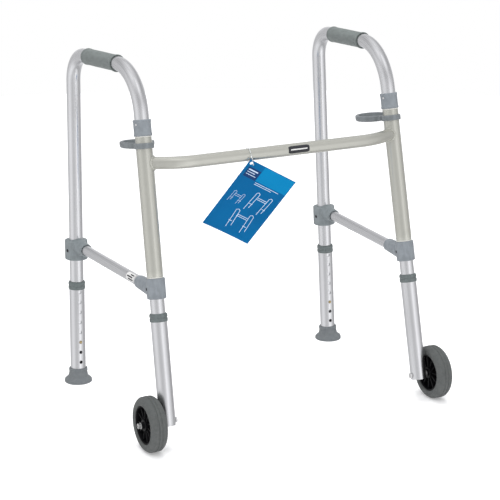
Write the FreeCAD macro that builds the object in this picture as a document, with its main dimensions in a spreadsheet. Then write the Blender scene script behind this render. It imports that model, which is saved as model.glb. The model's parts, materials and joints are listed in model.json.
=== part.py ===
import FreeCAD, Part
import os
import re
from math import acos, atan2, cos, degrees, radians, sin, tan

import Sketcher

# Folding two-button walking frame with front wheels, in millimetres.
# +Z is up, the frame is symmetric about X = 0, its crossbar and wheels face -Y and its plain
# rear legs face +Y. The origin is under the middle of the whole frame, on the floor.
# Each side frame lies in one plane, which leans inward and opens towards the rear. Lengths
# "along a leg" start where that leg's axis meets the floor.

Vector = FreeCAD.Vector
Rotation = FreeCAD.Rotation
Placement = FreeCAD.Placement
AXIS_X = Vector(1, 0, 0)
AXIS_Y = Vector(0, 1, 0)
AXIS_Z = Vector(0, 0, 1)
SIDES = (("left", -1), ("right", 1))

DIMENSIONS = {
    # stance: half widths and depth between the axes at the floor, and lean angles in degrees
    "front_half_width": 295.9,
    "rear_half_width": 315.5,
    "leg_spread": 447.0,
    "front_lean": 12.36,
    "rear_lean": 2.23,
    "inward_lean": 1.67,
    # side tube
    "leg_radius": 14.8,
    "leg_wall": 1.4,
    "front_corner": 765.6,
    "rear_corner": 727.3,
    "front_bend": 106.0,
    "rear_bend": 60.0,
    "front_tube_end": 112.0,
    "rear_tube_end": 76.0,
    # hand grip, measured from the front corner
    "grip_start": 92.5,
    "grip_length": 145.0,
    "grip_radius": 16.6,
    "grip_lip": 1.1,
    "grip_lip_length": 5.0,
    # fits
    "fixed_gap": 0.02,
    "running_gap": 0.05,
    "slide_gap": 0.3,
    # sleeve of the front frame and its liners
    "sleeve_radius": 16.7,
    "sleeve_wall": 1.2,
    "sleeve_low": 350.1,
    "sleeve_high": 629.5,
    "liner_flange": 1.5,
    "liner_length": 30.0,
    # collar above the sleeve, fixed on the side tube
    "collar_radius": 18.5,
    "collar_low": 631.3,
    "collar_high": 663.9,
    "collar_edge": 1.2,
    # crossbar
    "bar_radius": 12.7,
    "bar_wall": 1.5,
    "bar_along": 577.6,
    "bar_bow": 30.0,
    "bar_bend_half": 222.0,
    "bar_bend": 150.0,
    # trigger
    "band_radius": 20.4,
    "band_low": 606.2,
    "band_height": 11.3,
    "loop_ring": 32.0,
    "loop_wall": 3.6,
    "loop_half": 6.2,
    "loop_rise": 6.0,
    "loop_back": 61.0,
    "loop_inward": 14.0,
    "bridge_width": 20.0,
    "bridge_height": 9.0,
    "bridge_length": 22.0,
    "trigger_travel": 10.0,
    "pin_radius": 3.0,
    "pin_inner": 7.0,
    "pin_outer": 27.0,
    "pin_slot_gap": 0.4,
    "window_margin": 14.0,
    "left_fold": 90.0,
    "right_fold": 72.0,
    # return spring of the trigger
    "spring_ring": 8.4,
    "spring_wire": 0.7,
    "spring_pitch": 4.6,
    "spring_length": 23.0,
    "stop_low": 640.0,
    "stop_height": 8.0,
    # connectors and brace
    "barrel_radius": 19.5,
    "front_barrel_low": 306.4,
    "front_barrel_high": 348.0,
    "rear_barrel_low": 278.4,
    "rear_barrel_high": 321.2,
    "brace_radius": 10.8,
    "brace_wall": 1.5,
    "brace_front": 321.6,
    "brace_rear": 309.3,
    "boss_radius": 13.4,
    "front_boss_length": 74.0,
    "rear_boss_length": 54.0,
    "front_boss_root": 17.0,
    "rear_boss_root": 19.0,
    "brace_inset": 22.0,
    "rivet_radius": 2.2,
    "rivet_head": 3.6,
    "rivet_head_height": 1.1,
    "rivet_angle": 75.0,
    # telescopic extension legs
    "extension_radius": 16.7,
    "extension_wall": 1.6,
    "hole_pitch": 22.8,
    "hole_radius": 3.6,
    "rear_button_along": 92.1,
    "front_button_along": 130.0,
    "rear_extension_low": 9.0,
    "rear_ring_low": 210.9,
    "rear_ring_high": 228.6,
    "front_extension_low": 49.6,
    "front_ring_low": 260.5,
    "front_ring_high": 277.5,
    "ring_radius": 18.4,
    "ring_lip": 4.0,
    "ring_edge": 1.0,
    # snap buttons
    "button_radius": 3.3,
    "button_crown": 1.7,
    "button_flange": 4.3,
    "button_flange_height": 1.0,
    "button_dome": 1.2,
    "strip_width": 8.0,
    "strip_seat": 11.3,
    "strip_reach": 11.2,
    "strip_gauge": 0.9,
    "strip_tail": 6.0,
    "strip_bend": 52.0,
    "strip_crotch": 4.5,
    "strip_rest": 12.4,
    "strip_rest_low": 2.0,
    # rubber tip of the rear leg
    "tip_foot_radius": 30.2,
    "tip_foot_height": 4.5,
    "tip_neck_radius": 20.4,
    "tip_height": 31.5,
    "tip_flare_high": 19.0,
    "tip_step": 1.6,
    "tip_under": -2.0,
    "tip_washer_radius": 16.4,
    "tip_washer_height": 2.0,
    # wheel and axle, measured outward from the leg's axis
    "wheel_radius": 57.15,
    "tyre_half": 18.0,
    "tyre_crown": 6.0,
    "tyre_bead": 2.0,
    "tyre_shoulder": 6.0,
    "tyre_seat": 39.6,
    "wheel_offset": 37.6,
    "hub_rim": 36.6,
    "hub_half": 15.0,
    "hub_core": 12.0,
    "web_half": 2.5,
    "bush_radius": 7.0,
    "bush_half": 17.6,
    "bush_nose": 2.4,
    "rib_count": 11,
    "rib_thickness": 2.6,
    "rib_half": 11.0,
    "axle_along": 58.5,
    "axle_radius": 3.0,
    "axle_hole": 3.04,
    "bolt_head": 5.8,
    "bolt_head_height": 4.2,
    "washer_radius": 6.6,
    "inner_washer": 2.4,
    "outer_washer": 1.2,
    "nut_height": 5.2,
    "axle_tail": 0.4,
    # hang tag and its tie, hung on the crossbar
    "tag_across": -72.6,
    "tag_width": 116.5,
    "tag_height": 172.0,
    "tag_thickness": 0.9,
    "tag_turn": 32.0,
    "tag_tilt": 19.0,
    "tag_yaw": -14.0,
    "tag_corner_inset": 6.5,
    "tag_hole": 3.6,
    "tag_front": 15.6,
    "tag_down": 14.0,
    "tie_wire": 0.9,
    "tie_ring": 14.0,
    "tie_forward": 25.0,
    "tie_down": 15.5,
    "tie_bend": 1.6,
}

doc = FreeCAD.newDocument("walking_frame")
sheet = doc.addObject("Spreadsheet::Sheet", "dims")
for row, (alias, number) in enumerate(DIMENSIONS.items(), 1):
    sheet.set(f"A{row}", alias)
    sheet.set(f"B{row}", str(number))
    sheet.setAlias(f"B{row}", alias)
doc.recompute()

nodes = {}


def size(formula):
    """The value of a formula made of sheet names joined by + and -."""
    total = 0.0
    for sign, name in re.findall(r"([+-]?)\s*([a-z]\w*)", formula):
        total += -float(sheet.get(name)) if sign == "-" else float(sheet.get(name))
    return total


def bind(item, **formulas):
    """Ties properties to the sheet: each word of a formula is one of its names."""
    for name, formula in formulas.items():
        cells = re.sub(r"[a-z]\w*", lambda word: "dims." + word.group(), formula)
        item.setExpression(name, cells)
    return item


def shift(across=0.0, back=0.0, up=0.0):
    return Placement(Vector(across, back, up), Rotation())


def turn(axis, angle):
    return Placement(Vector(), Rotation(axis, angle))


def add(kind, name, place):
    item = doc.addObject(kind, name)
    item.Placement = place
    return item


def cylinder(name, place, radius, height):
    return bind(add("Part::Cylinder", name, place), Radius=radius, Height=height)


def span(name, frame, radius, low, high):
    """A round bar about a frame's +Z, between two heights."""
    return cylinder(name, frame * shift(up=size(low)), radius, f"{high} - ({low})")


def fuse(name, items):
    item = doc.addObject("Part::MultiFuse", name)
    item.Shapes = items
    return item


def cut(name, base, tools):
    item = doc.addObject("Part::Cut", name)
    item.Base = base
    item.Tool = tools[0] if len(tools) == 1 else fuse(name + "_tools", tools)
    return item


def keep(label, item, frame=Placement()):
    """Gives a finished sub-part its label and puts it in its frame."""
    item.Placement = frame * item.Placement
    item.Label = label
    nodes[label] = item
    return item


def sketch_outline(body, plane, corners):
    """A closed outline in a body's plane, each corner a pair of formulas, tied to the sheet."""
    sketch = body.newObject("Sketcher::SketchObject", body.Name + "_outline")
    origin = [f for f in body.Origin.OriginFeatures if f.Role == plane][0]
    sketch.AttachmentSupport = [(origin, "")]
    sketch.MapMode = "FlatFace"
    points = [Vector(size(x), size(y), 0) for x, y in corners]
    count = len(points)
    for i, point in enumerate(points):
        sketch.addGeometry(Part.LineSegment(point, points[(i + 1) % count]), False)
    for i in range(count):
        sketch.addConstraint(Sketcher.Constraint("Coincident", i, 2, (i + 1) % count, 1))
    for i, (x, y) in enumerate(corners):
        for kind, other, formula in (("DistanceX", -2, x), ("DistanceY", -1, y)):
            value = size(formula)
            if not formula:
                sketch.addConstraint(Sketcher.Constraint("PointOnObject", i, 1, other))
                continue
            ends = (-1, 1, i, 1) if value > 0 else (i, 1, -1, 1)
            number = sketch.addConstraint(Sketcher.Constraint(kind, *ends, abs(value)))
            cells = re.sub(r"[a-z]\w*", lambda word: "dims." + word.group(), formula)
            sketch.setExpression(f"Constraints[{number}]", cells if value > 0 else f"-({cells})")
    return sketch


def turned_body(name, corners):
    """A body turned about +Z from corners of (radius, height)."""
    body = doc.addObject("PartDesign::Body", name)
    sketch = sketch_outline(body, "XZ_Plane", corners)
    doc.recompute()
    revolution = body.newObject("PartDesign::Revolution", name + "_turning")
    revolution.Profile = sketch
    revolution.ReferenceAxis = (sketch, ["V_Axis"])
    revolution.Angle = 360
    body.Tip = revolution
    return body


def wire_feature(name, edges):
    item = doc.addObject("Part::Feature", name)
    item.Shape = Part.Wire(edges)
    return item


def rounded_path(points, radii):
    """Straight edges between points, with a tangent arc at each inner one."""
    edges = []
    start = points[0]
    for before, corner, after, radius in zip(points, points[1:], points[2:], radii):
        to_before = (before - corner).normalize()
        to_after = (after - corner).normalize()
        half = to_before.getAngle(to_after) / 2
        reach = radius / tan(half)
        first = corner + to_before * reach
        last = corner + to_after * reach
        middle = (to_before + to_after).normalize()
        crown = corner + middle * (radius / sin(half) - radius)
        edges.append(Part.LineSegment(start, first).toShape())
        edges.append(Part.Arc(first, crown, last).toShape())
        start = last
    edges.append(Part.LineSegment(start, points[-1]).toShape())
    return edges


def swept(name, path, edge_count, start, direction, radius):
    """A round bar along a path, from a circle tied to the sheet."""
    place = Placement(start, Rotation(AXIS_Z, direction))
    circle = bind(add("Part::Circle", name + "_section", place), Radius=radius)
    sweep = doc.addObject("Part::Sweep", name)
    sweep.Sections = [circle]
    sweep.Spine = (path, [f"Edge{i + 1}" for i in range(edge_count)])
    sweep.Solid = True
    sweep.Frenet = False
    return sweep


# ------------------------------------------------------------------ frames of the side and its legs
SPLAY = degrees(atan2(size("rear_half_width - front_half_width"), size("leg_spread")))
REAR_FOOT = size("leg_spread") / cos(radians(SPLAY))
FRONT_TILT = turn(AXIS_X, -size("front_lean"))
REAR_TILT = shift(back=REAR_FOOT) * turn(AXIS_X, -size("rear_lean"))
PLAN_X = {-1: turn(AXIS_Y, -90), 1: turn(AXIS_Y, 90)}


def side_frame(side):
    outward = shift(across=side * size("front_half_width"))
    return outward * turn(AXIS_Z, -side * SPLAY) * turn(AXIS_Y, -side * size("inward_lean"))


def front_leg(side):
    return side_frame(side) * FRONT_TILT


def rear_leg(side):
    return side_frame(side) * REAR_TILT


def axle_frame(side):
    """The wheel's axle: level and straight across, with +Z pointing outward."""
    centre = front_leg(side).multVec(Vector(0, 0, size("axle_along")))
    centre.z = size("wheel_radius")
    return Placement(centre, Rotation()) * PLAN_X[side]


FRONT_CORNER = FRONT_TILT.multVec(Vector(0, 0, size("front_corner")))
REAR_CORNER = REAR_TILT.multVec(Vector(0, 0, size("rear_corner")))
GRIP_LINE = (REAR_CORNER - FRONT_CORNER).normalize()
BRACE_FRONT = FRONT_TILT.multVec(Vector(0, 0, size("brace_front")))
BRACE_REAR = REAR_TILT.multVec(Vector(0, 0, size("brace_rear")))
BRACE_LINE = (BRACE_REAR - BRACE_FRONT).normalize()
PIN_ALONG = size("band_low") + size("band_height") / 2


# ------------------------------------------------------------------ side frame
def side_path():
    points = [
        FRONT_TILT.multVec(Vector(0, 0, size("front_tube_end"))),
        FRONT_CORNER,
        REAR_CORNER,
        REAR_TILT.multVec(Vector(0, 0, size("rear_tube_end"))),
    ]
    return points, rounded_path(points, (size("front_bend"), size("rear_bend")))


def lock_window(name, side):
    """The part of the leg's wall that passes the lock pin while the side folds inward."""
    margin = size("window_margin")
    fold = size(name + "_fold")
    first = 90 - margin if side < 0 else 90 - fold - margin
    low = PIN_ALONG - size("pin_radius + pin_slot_gap")
    place = FRONT_TILT * shift(up=low) * turn(AXIS_Z, first)
    window = cylinder(name + "_window", place, "leg_radius + leg_wall",
                      "pin_radius + pin_radius + pin_slot_gap + pin_slot_gap + trigger_travel")
    bind(window, Angle=f"{name}_fold + window_margin + window_margin")
    return window


def radial_hole(name, frame, along, back, radius):
    """A hole through one wall of a leg, at +Y (back = 1) or -Y (back = -1) of its axis."""
    place = frame * shift(up=along) * turn(AXIS_X, -90 * back)
    return cylinder(name, place, radius, "leg_radius + leg_radius")


def make_side_tube(name, side):
    points, edges = side_path()
    path = wire_feature(name + "_side_path", edges)
    direction = points[1] - points[0]
    solid = swept(name + "_side_outer", path, len(edges), points[0], direction, "leg_radius")
    hollow = swept(name + "_side_hollow", path, len(edges), points[0], direction,
                   "leg_radius - leg_wall")
    tools = [
        hollow,
        lock_window(name, side),
        radial_hole(name + "_front_snap_hole", FRONT_TILT, size("front_button_along"), 1,
                    "hole_radius"),
        radial_hole(name + "_rear_snap_hole", REAR_TILT, size("rear_button_along"), -1,
                    "hole_radius"),
    ]
    keep(name + "_side_tube", cut(name + "_tube", solid, tools), side_frame(side))


def make_grip(name, side):
    grip = turned_body(name + "_grip_body", (
        ("leg_radius + fixed_gap", ""),
        ("grip_radius + grip_lip", ""),
        ("grip_radius + grip_lip", "grip_lip_length"),
        ("grip_radius", "grip_lip_length + grip_lip"),
        ("grip_radius", "grip_length"),
        ("leg_radius + fixed_gap", "grip_length"),
    ))
    start = FRONT_CORNER + GRIP_LINE * size("grip_start")
    keep(name + "_grip", grip, side_frame(side) * Placement(start, Rotation(AXIS_Z, GRIP_LINE)))


def make_collar(name, side):
    collar = turned_body(name + "_collar_body", (
        ("leg_radius + fixed_gap", "collar_low"),
        ("collar_radius - collar_edge", "collar_low"),
        ("collar_radius", "collar_low + collar_edge"),
        ("collar_radius", "collar_high - collar_edge"),
        ("collar_radius - collar_edge", "collar_high"),
        ("leg_radius + fixed_gap", "collar_high"),
    ))
    keep(name + "_top_collar", collar, front_leg(side))


def make_connector(name, side, end):
    """A moulded tee: a barrel on the leg and a tapered socket that takes the brace."""
    label = f"{name}_{end}_connector"
    leg, start, line = {
        "front": (FRONT_TILT, BRACE_FRONT, BRACE_LINE),
        "rear": (REAR_TILT, BRACE_REAR, BRACE_LINE * -1),
    }[end]
    barrel = span(label + "_barrel", leg, "barrel_radius", end + "_barrel_low",
                  end + "_barrel_high")
    socket = add("Part::Cone", label + "_socket", Placement(start, Rotation(AXIS_Z, line)))
    bind(socket, Radius1=end + "_boss_root", Radius2="boss_radius",
         Height=end + "_boss_length")
    bore = span(label + "_bore", leg, "leg_radius + fixed_gap", "rear_barrel_low - barrel_radius",
                "front_barrel_high + barrel_radius")
    mouth_place = Placement(start + line * size("brace_inset"), Rotation(AXIS_Z, line))
    mouth = cylinder(label + "_mouth", mouth_place, "brace_radius + fixed_gap",
                     end + "_boss_length")
    holes = [cylinder(label + "_rivet_hole", place * shift(up=-size("leg_radius")),
                      "rivet_radius + fixed_gap", "leg_radius + rivet_head")
             for place in rivet_places(end)]
    solid = fuse(label + "_solid", [barrel, socket])
    keep(label, cut(label + "_cut", solid, [bore, mouth, *holes]), side_frame(side))


def make_brace(name, side):
    """The straight tube between the two sockets of a side."""
    inset = size("brace_inset")
    place = Placement(BRACE_FRONT + BRACE_LINE * inset, Rotation(AXIS_Z, BRACE_LINE))
    outer = add("Part::Cylinder", name + "_brace_outer", place)
    inner = add("Part::Cylinder", name + "_brace_inner", place)
    bind(outer, Radius="brace_radius")
    bind(inner, Radius="brace_radius - brace_wall")
    for tube in (outer, inner):
        tube.Height = (BRACE_REAR - BRACE_FRONT).Length - 2 * inset
    keep(name + "_brace", cut(name + "_brace_cut", outer, [inner]), side_frame(side))


def rivet(name, place):
    """A rivet about its frame's +Z, head outward, seated on the plane Z = 0."""
    depth = place * shift(up=-size("barrel_radius - leg_radius - fixed_gap"))
    shank = cylinder(name + "_shank", depth, "rivet_radius", "barrel_radius - leg_radius")
    head = cylinder(name + "_head", place, "rivet_head", "rivet_head_height")
    return fuse(name, [shank, head])


def rivet_places(end):
    """Two rivets through each barrel, one on either side of its socket's root."""
    leg = {"front": FRONT_TILT, "rear": REAR_TILT}[end]
    middle = (size(end + "_barrel_low") + size(end + "_barrel_high")) / 2
    ahead = {"front": 90, "rear": -90}[end]
    for way in (-1, 1):
        around = turn(AXIS_Z, ahead + way * size("rivet_angle"))
        yield leg * shift(up=middle) * around * shift(size("barrel_radius")) * turn(AXIS_Y, 90)


def make_rivets(name, side):
    made = []
    for end in ("front", "rear"):
        made += [rivet(f"{name}_{end}_rivet", place) for place in rivet_places(end)]
    keep(name + "_connector_rivets", fuse(name + "_rivets", made), side_frame(side))


# ------------------------------------------------------------------ snap buttons
def strip_spring(name, frame, along, back):
    """A bent flat spring in the leg: one arm carries the button, the other rests opposite."""
    spring = doc.addObject("PartDesign::Body", name)
    outline = sketch_outline(spring, "XZ_Plane", (
        ("strip_reach", "-strip_tail"),
        ("strip_reach", "strip_tail"),
        ("", "strip_bend"),
        ("-strip_rest", "strip_rest_low"),
        ("-strip_rest + strip_gauge", "strip_rest_low"),
        ("", "strip_bend - strip_crotch"),
        ("strip_reach - strip_gauge", "strip_tail"),
        ("strip_reach - strip_gauge", "-strip_tail"),
    ))
    doc.recompute()
    strip = spring.newObject("PartDesign::Pad", name + "_strip")
    strip.Profile = outline
    strip.Midplane = True
    bind(strip, Length="strip_width")
    spring.Tip = strip
    spring.Placement = frame * shift(up=along) * turn(AXIS_Z, 90 * back)
    return spring


def make_snap_springs(name, side):
    springs = [
        strip_spring(name + "_front_strip", FRONT_TILT, size("front_button_along"), 1),
        strip_spring(name + "_rear_strip", REAR_TILT, size("rear_button_along"), -1),
    ]
    compound = doc.addObject("Part::Compound", name + "_strips")
    compound.Links = springs
    keep(name + "_snap_springs", compound, side_frame(side))


def make_button(name, side, end, back):
    """A stepped button with a crowned head, about its own +Z, from the strip outward."""
    label = f"{name}_{end}_button"
    button = turned_body(label + "_body", (
        ("", "strip_seat"),
        ("button_flange", "strip_seat"),
        ("button_flange", "strip_seat + button_flange_height"),
        ("button_radius", "strip_seat + button_flange_height"),
        ("button_radius", "extension_radius"),
        ("button_radius - button_dome", "extension_radius + button_crown"),
        ("", "extension_radius + button_crown"),
    ))
    leg = {"front": FRONT_TILT, "rear": REAR_TILT}[end]
    along = size(end + "_button_along")
    keep(label, button, side_frame(side) * leg * shift(up=along) * turn(AXIS_X, -90 * back))


# ------------------------------------------------------------------ extension legs
def extension(label, low, ring_high, holes_from, back, extra):
    """A leg extension with its row of holes, about +Z."""
    outer = span(label + "_outer", Placement(), "extension_radius", low, ring_high)
    inner = span(label + "_inner", Placement(), "extension_radius - extension_wall",
                 low + " - extension_wall", ring_high + " + extension_wall")
    holes = []
    for step in holes_from:
        along = size(label.split("_")[1] + "_button_along") + step * size("hole_pitch")
        holes.append(radial_hole(label + "_hole", Placement(), along, back, "hole_radius"))
    return cut(label + "_cut", outer, [inner, *holes, *extra])


def make_rear_extension(name, side):
    label = name + "_rear_extension"
    item = extension(label, "rear_extension_low", "rear_ring_low + ring_lip", range(-2, 6), -1, [])
    keep(label, item, rear_leg(side))


def make_front_extension(name, side):
    label = name + "_front_extension"
    frame = front_leg(side)
    drill_place = frame.inverse() * axle_frame(side) * shift(up=-2 * size("extension_radius"))
    drill = cylinder(label + "_drill", drill_place, "axle_hole",
                     "extension_radius + extension_radius + extension_radius + extension_radius")
    item = extension(label, "front_extension_low", "front_ring_low + ring_lip", range(-1, 6), 1,
                     [drill])
    keep(label, item, frame)


def make_ring(name, side, end, frame):
    """The cuff on the top of an extension, with a lip that guides the inner leg."""
    low = end + "_ring_low"
    high = end + "_ring_high"
    ring = turned_body(f"{name}_{end}_ring_body", (
        ("extension_radius + fixed_gap", low),
        ("ring_radius - ring_edge", low),
        ("ring_radius", low + " + ring_edge"),
        ("ring_radius", high + " - ring_edge"),
        ("ring_radius - ring_edge", high),
        ("leg_radius + slide_gap", high),
        ("leg_radius + slide_gap", low + " + ring_lip + fixed_gap"),
        ("extension_radius + fixed_gap", low + " + ring_lip + fixed_gap"),
    ))
    keep(f"{name}_{end}_ring", ring, frame)


def make_tip(name, side):
    """The flared rubber tip, trimmed level with the floor."""
    tip = turned_body(name + "_tip_body", (
        ("", "tip_under"),
        ("tip_foot_radius", "tip_under"),
        ("tip_foot_radius", "tip_foot_height"),
        ("tip_foot_radius - tip_step", "tip_foot_height + tip_step"),
        ("tip_neck_radius + tip_step", "tip_flare_high"),
        ("tip_neck_radius", "tip_flare_high + tip_step + tip_step"),
        ("tip_neck_radius", "tip_height - tip_step"),
        ("tip_neck_radius - tip_step", "tip_height"),
        ("extension_radius + fixed_gap", "tip_height"),
        ("extension_radius + fixed_gap", "rear_extension_low - tip_washer_height"),
        ("", "rear_extension_low - tip_washer_height"),
    ))
    tip.Placement = rear_leg(side)
    foot = rear_leg(side).Base
    reach = size("tip_foot_radius") * 2
    floor = add("Part::Box", name + "_floor",
                Placement(foot - Vector(reach, reach, size("tip_foot_radius")), Rotation()))
    bind(floor, Height="tip_foot_radius")
    bind(floor, Length="tip_foot_radius + tip_foot_radius + tip_foot_radius + tip_foot_radius")
    bind(floor, Width="tip_foot_radius + tip_foot_radius + tip_foot_radius + tip_foot_radius")
    keep(name + "_rear_tip", cut(name + "_tip_cut", tip, [floor]))


def make_tip_washer(name, side):
    washer = span(name + "_washer", rear_leg(side), "tip_washer_radius",
                  "rear_extension_low - tip_washer_height + fixed_gap",
                  "rear_extension_low - fixed_gap")
    keep(name + "_tip_washer", washer)


# ------------------------------------------------------------------ wheel and axle
def make_tyre(name, side):
    tyre = turned_body(name + "_tyre_body", (
        ("tyre_seat", "-tyre_half + tyre_bead"),
        ("tyre_seat + tyre_bead", "-tyre_half"),
        ("wheel_radius - tyre_shoulder - tyre_bead", "-tyre_half"),
        ("wheel_radius - tyre_bead", "-tyre_half + tyre_shoulder"),
        ("wheel_radius", "-tyre_crown"),
        ("wheel_radius", "tyre_crown"),
        ("wheel_radius - tyre_bead", "tyre_half - tyre_shoulder"),
        ("wheel_radius - tyre_shoulder - tyre_bead", "tyre_half"),
        ("tyre_seat + tyre_bead", "tyre_half"),
        ("tyre_seat", "tyre_half - tyre_bead"),
    ))
    keep(name + "_tyre", tyre, axle_frame(side) * shift(up=size("wheel_offset")))


def make_hub(name, side):
    """The wheel's centre: a rim under the tyre, a web, a core and ribs on both faces."""
    hub = turned_body(name + "_hub_body", (
        ("bush_radius + fixed_gap", "-hub_half"),
        ("hub_core", "-hub_half"),
        ("hub_core", "-web_half"),
        ("hub_rim", "-web_half"),
        ("hub_rim", "-hub_half"),
        ("tyre_seat - fixed_gap", "-hub_half"),
        ("tyre_seat - fixed_gap", "hub_half"),
        ("hub_rim", "hub_half"),
        ("hub_rim", "web_half"),
        ("hub_core", "web_half"),
        ("hub_core", "hub_half"),
        ("bush_radius + fixed_gap", "hub_half"),
    ))
    rib_sketch = sketch_outline(hub, "XZ_Plane", (
        ("hub_core - web_half", "-rib_half"),
        ("hub_rim + web_half", "-rib_half"),
        ("hub_rim + web_half", "rib_half"),
        ("hub_core - web_half", "rib_half"),
    ))
    doc.recompute()
    plain = hub.Shape.Volume
    rib = hub.newObject("PartDesign::Pad", name + "_rib")
    rib.Profile = rib_sketch
    rib.Midplane = True
    bind(rib, Length="rib_thickness")
    pattern = hub.newObject("PartDesign::PolarPattern", name + "_ribs")
    pattern.Originals = [rib]
    pattern.Axis = (rib_sketch, ["V_Axis"])
    pattern.Angle = 360
    bind(pattern, Occurrences="rib_count")
    hub.Tip = pattern
    doc.recompute()
    if hub.Shape.Volume < plain + size("rib_count") * size("rib_thickness"):
        raise RuntimeError("the hub's ribs are missing")
    keep(name + "_wheel_hub", hub, axle_frame(side) * shift(up=size("wheel_offset")))


def tube(label, frame, outer, inner, low, high):
    """A plain tube about a frame's +Z."""
    solid = span(label + "_solid", frame, outer, low, high)
    hole = span(label + "_hole", frame, inner, low + " - washer_radius",
                high + " + washer_radius")
    return cut(label + "_cut", solid, [hole])


def make_bush(name, side):
    """The bush that runs on the axle, with a nose that stands out under the washer."""
    bush = tube(name + "_bush", Placement(), "bush_radius", "axle_radius + running_gap",
                "wheel_offset - bush_half", "wheel_offset + bush_half + bush_nose")
    keep(name + "_hub_bush", bush, axle_frame(side))


def make_washers(name, side):
    """A spacer against the leg and a washer under the nut."""
    inner = tube(name + "_spacer", Placement(), "washer_radius", "axle_hole",
                 "wheel_offset - bush_half - slide_gap - inner_washer",
                 "wheel_offset - bush_half - slide_gap")
    outer = tube(name + "_washer", Placement(), "washer_radius", "axle_hole",
                 "wheel_offset + bush_half + bush_nose + slide_gap",
                 "wheel_offset + bush_half + bush_nose + slide_gap + outer_washer")
    pair = doc.addObject("Part::Compound", name + "_washer_pair")
    pair.Links = [inner, outer]
    keep(name + "_axle_washers", pair, axle_frame(side))


def hexagon(name, place, across_corners, height):
    item = bind(add("Part::Prism", name, place), Circumradius=across_corners, Height=height)
    item.Polygon = 6
    return item


def make_bolt(name, side):
    head_seat = size("extension_radius + slide_gap")
    head = hexagon(name + "_bolt_head", shift(up=-head_seat - size("bolt_head_height")),
                   "bolt_head", "bolt_head_height")
    end = ("wheel_offset + bush_half + bush_nose + slide_gap + outer_washer + nut_height"
           " + axle_tail")
    shank = span(name + "_bolt_shank", Placement(), "axle_radius",
                 "-extension_radius - slide_gap", end)
    keep(name + "_axle_bolt", fuse(name + "_bolt", [head, shank]), axle_frame(side))


def make_nut(name, side):
    seat = "wheel_offset + bush_half + bush_nose + slide_gap + outer_washer + fixed_gap"
    blank = hexagon(name + "_nut_blank", shift(up=size(seat)), "bolt_head", "nut_height")
    thread = span(name + "_nut_thread", Placement(), "axle_radius + fixed_gap", seat,
                  seat + " + nut_height")
    keep(name + "_axle_nut", cut(name + "_nut", blank, [thread]), axle_frame(side))


# ------------------------------------------------------------------ front frame
def pin_slot(name):
    """The upright slot that the lock pin slides in, on the rear of the sleeve."""
    half = size("pin_radius + pin_slot_gap")
    slot = add("Part::Box", name + "_pin_slot", shift(-half, 0, PIN_ALONG - half))
    bind(slot, Length="pin_radius + pin_radius + pin_slot_gap + pin_slot_gap",
         Width="sleeve_radius + sleeve_wall",
         Height="pin_radius + pin_radius + pin_slot_gap + pin_slot_gap + trigger_travel")
    return slot


def make_sleeve(name, side):
    outer = span(name + "_sleeve_outer", Placement(), "sleeve_radius", "sleeve_low",
                 "sleeve_high")
    inner = span(name + "_sleeve_inner", Placement(), "sleeve_radius - sleeve_wall",
                 "sleeve_low - sleeve_wall", "sleeve_high + sleeve_wall")
    keep(name + "_sleeve", cut(name + "_sleeve_cut", outer, [inner, pin_slot(name)]),
         front_leg(side))


def make_liners(name, side):
    """Two flanged nylon liners in the sleeve's ends, in which the side frame turns."""
    bore = "leg_radius + running_gap"
    barrel = "sleeve_radius - sleeve_wall - fixed_gap"
    lower = turned_body(name + "_lower_liner", (
        (bore, "sleeve_low - liner_flange"),
        ("sleeve_radius", "sleeve_low - liner_flange"),
        ("sleeve_radius", "sleeve_low - fixed_gap"),
        (barrel, "sleeve_low - fixed_gap"),
        (barrel, "sleeve_low + liner_length"),
        (bore, "sleeve_low + liner_length"),
    ))
    upper = turned_body(name + "_upper_liner", (
        (bore, "sleeve_high - liner_length"),
        (barrel, "sleeve_high - liner_length"),
        (barrel, "sleeve_high + fixed_gap"),
        ("sleeve_radius", "sleeve_high + fixed_gap"),
        ("sleeve_radius", "sleeve_high + liner_flange"),
        (bore, "sleeve_high + liner_flange"),
    ))
    pair = doc.addObject("Part::Compound", name + "_liner_pair")
    pair.Links = [lower, cut(name + "_upper_cut", upper, [pin_slot(name + "_liner")])]
    keep(name + "_sleeve_liners", pair, front_leg(side))


def make_trigger(name, side):
    """The band on the sleeve and the finger loop behind it, which lifts the lock pin."""
    band = span(name + "_band", Placement(), "band_radius", "band_low", "band_low + band_height")
    inward = -side * size("loop_inward")
    near = size("loop_back - loop_ring")
    loop = turned_body(name + "_loop", (
        ("loop_ring - loop_wall", "-loop_half"),
        ("loop_ring + loop_wall", "-loop_half"),
        ("loop_ring + loop_wall", "loop_half"),
        ("loop_ring - loop_wall", "loop_half"),
    ))
    loop.Placement = (shift(inward, near, PIN_ALONG) * turn(AXIS_X, size("loop_rise"))
                      * shift(back=size("loop_ring")))
    bridge = add("Part::Box", name + "_bridge", shift(
        (inward - size("bridge_width")) / 2, size("sleeve_radius"),
        PIN_ALONG - size("bridge_height") / 2))
    bind(bridge, Length="bridge_width", Width="bridge_length", Height="bridge_height")
    bore = span(name + "_band_bore", Placement(), "sleeve_radius + slide_gap",
                "band_low - band_height", "band_low + band_height + band_height")
    pin_hole = cylinder(name + "_pin_hole", shift(up=PIN_ALONG) * turn(AXIS_X, -90),
                        "pin_radius + fixed_gap", "pin_outer")
    solid = fuse(name + "_trigger_solid", [band, loop, bridge])
    keep(name + "_trigger", cut(name + "_trigger_cut", solid, [bore, pin_hole]), front_leg(side))


def make_pin(name, side):
    place = shift(up=PIN_ALONG, back=-size("pin_inner")) * turn(AXIS_X, -90)
    pin = cylinder(name + "_pin", place, "pin_radius", "pin_inner + pin_outer")
    keep(name + "_lock_pin", pin, front_leg(side))


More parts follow.
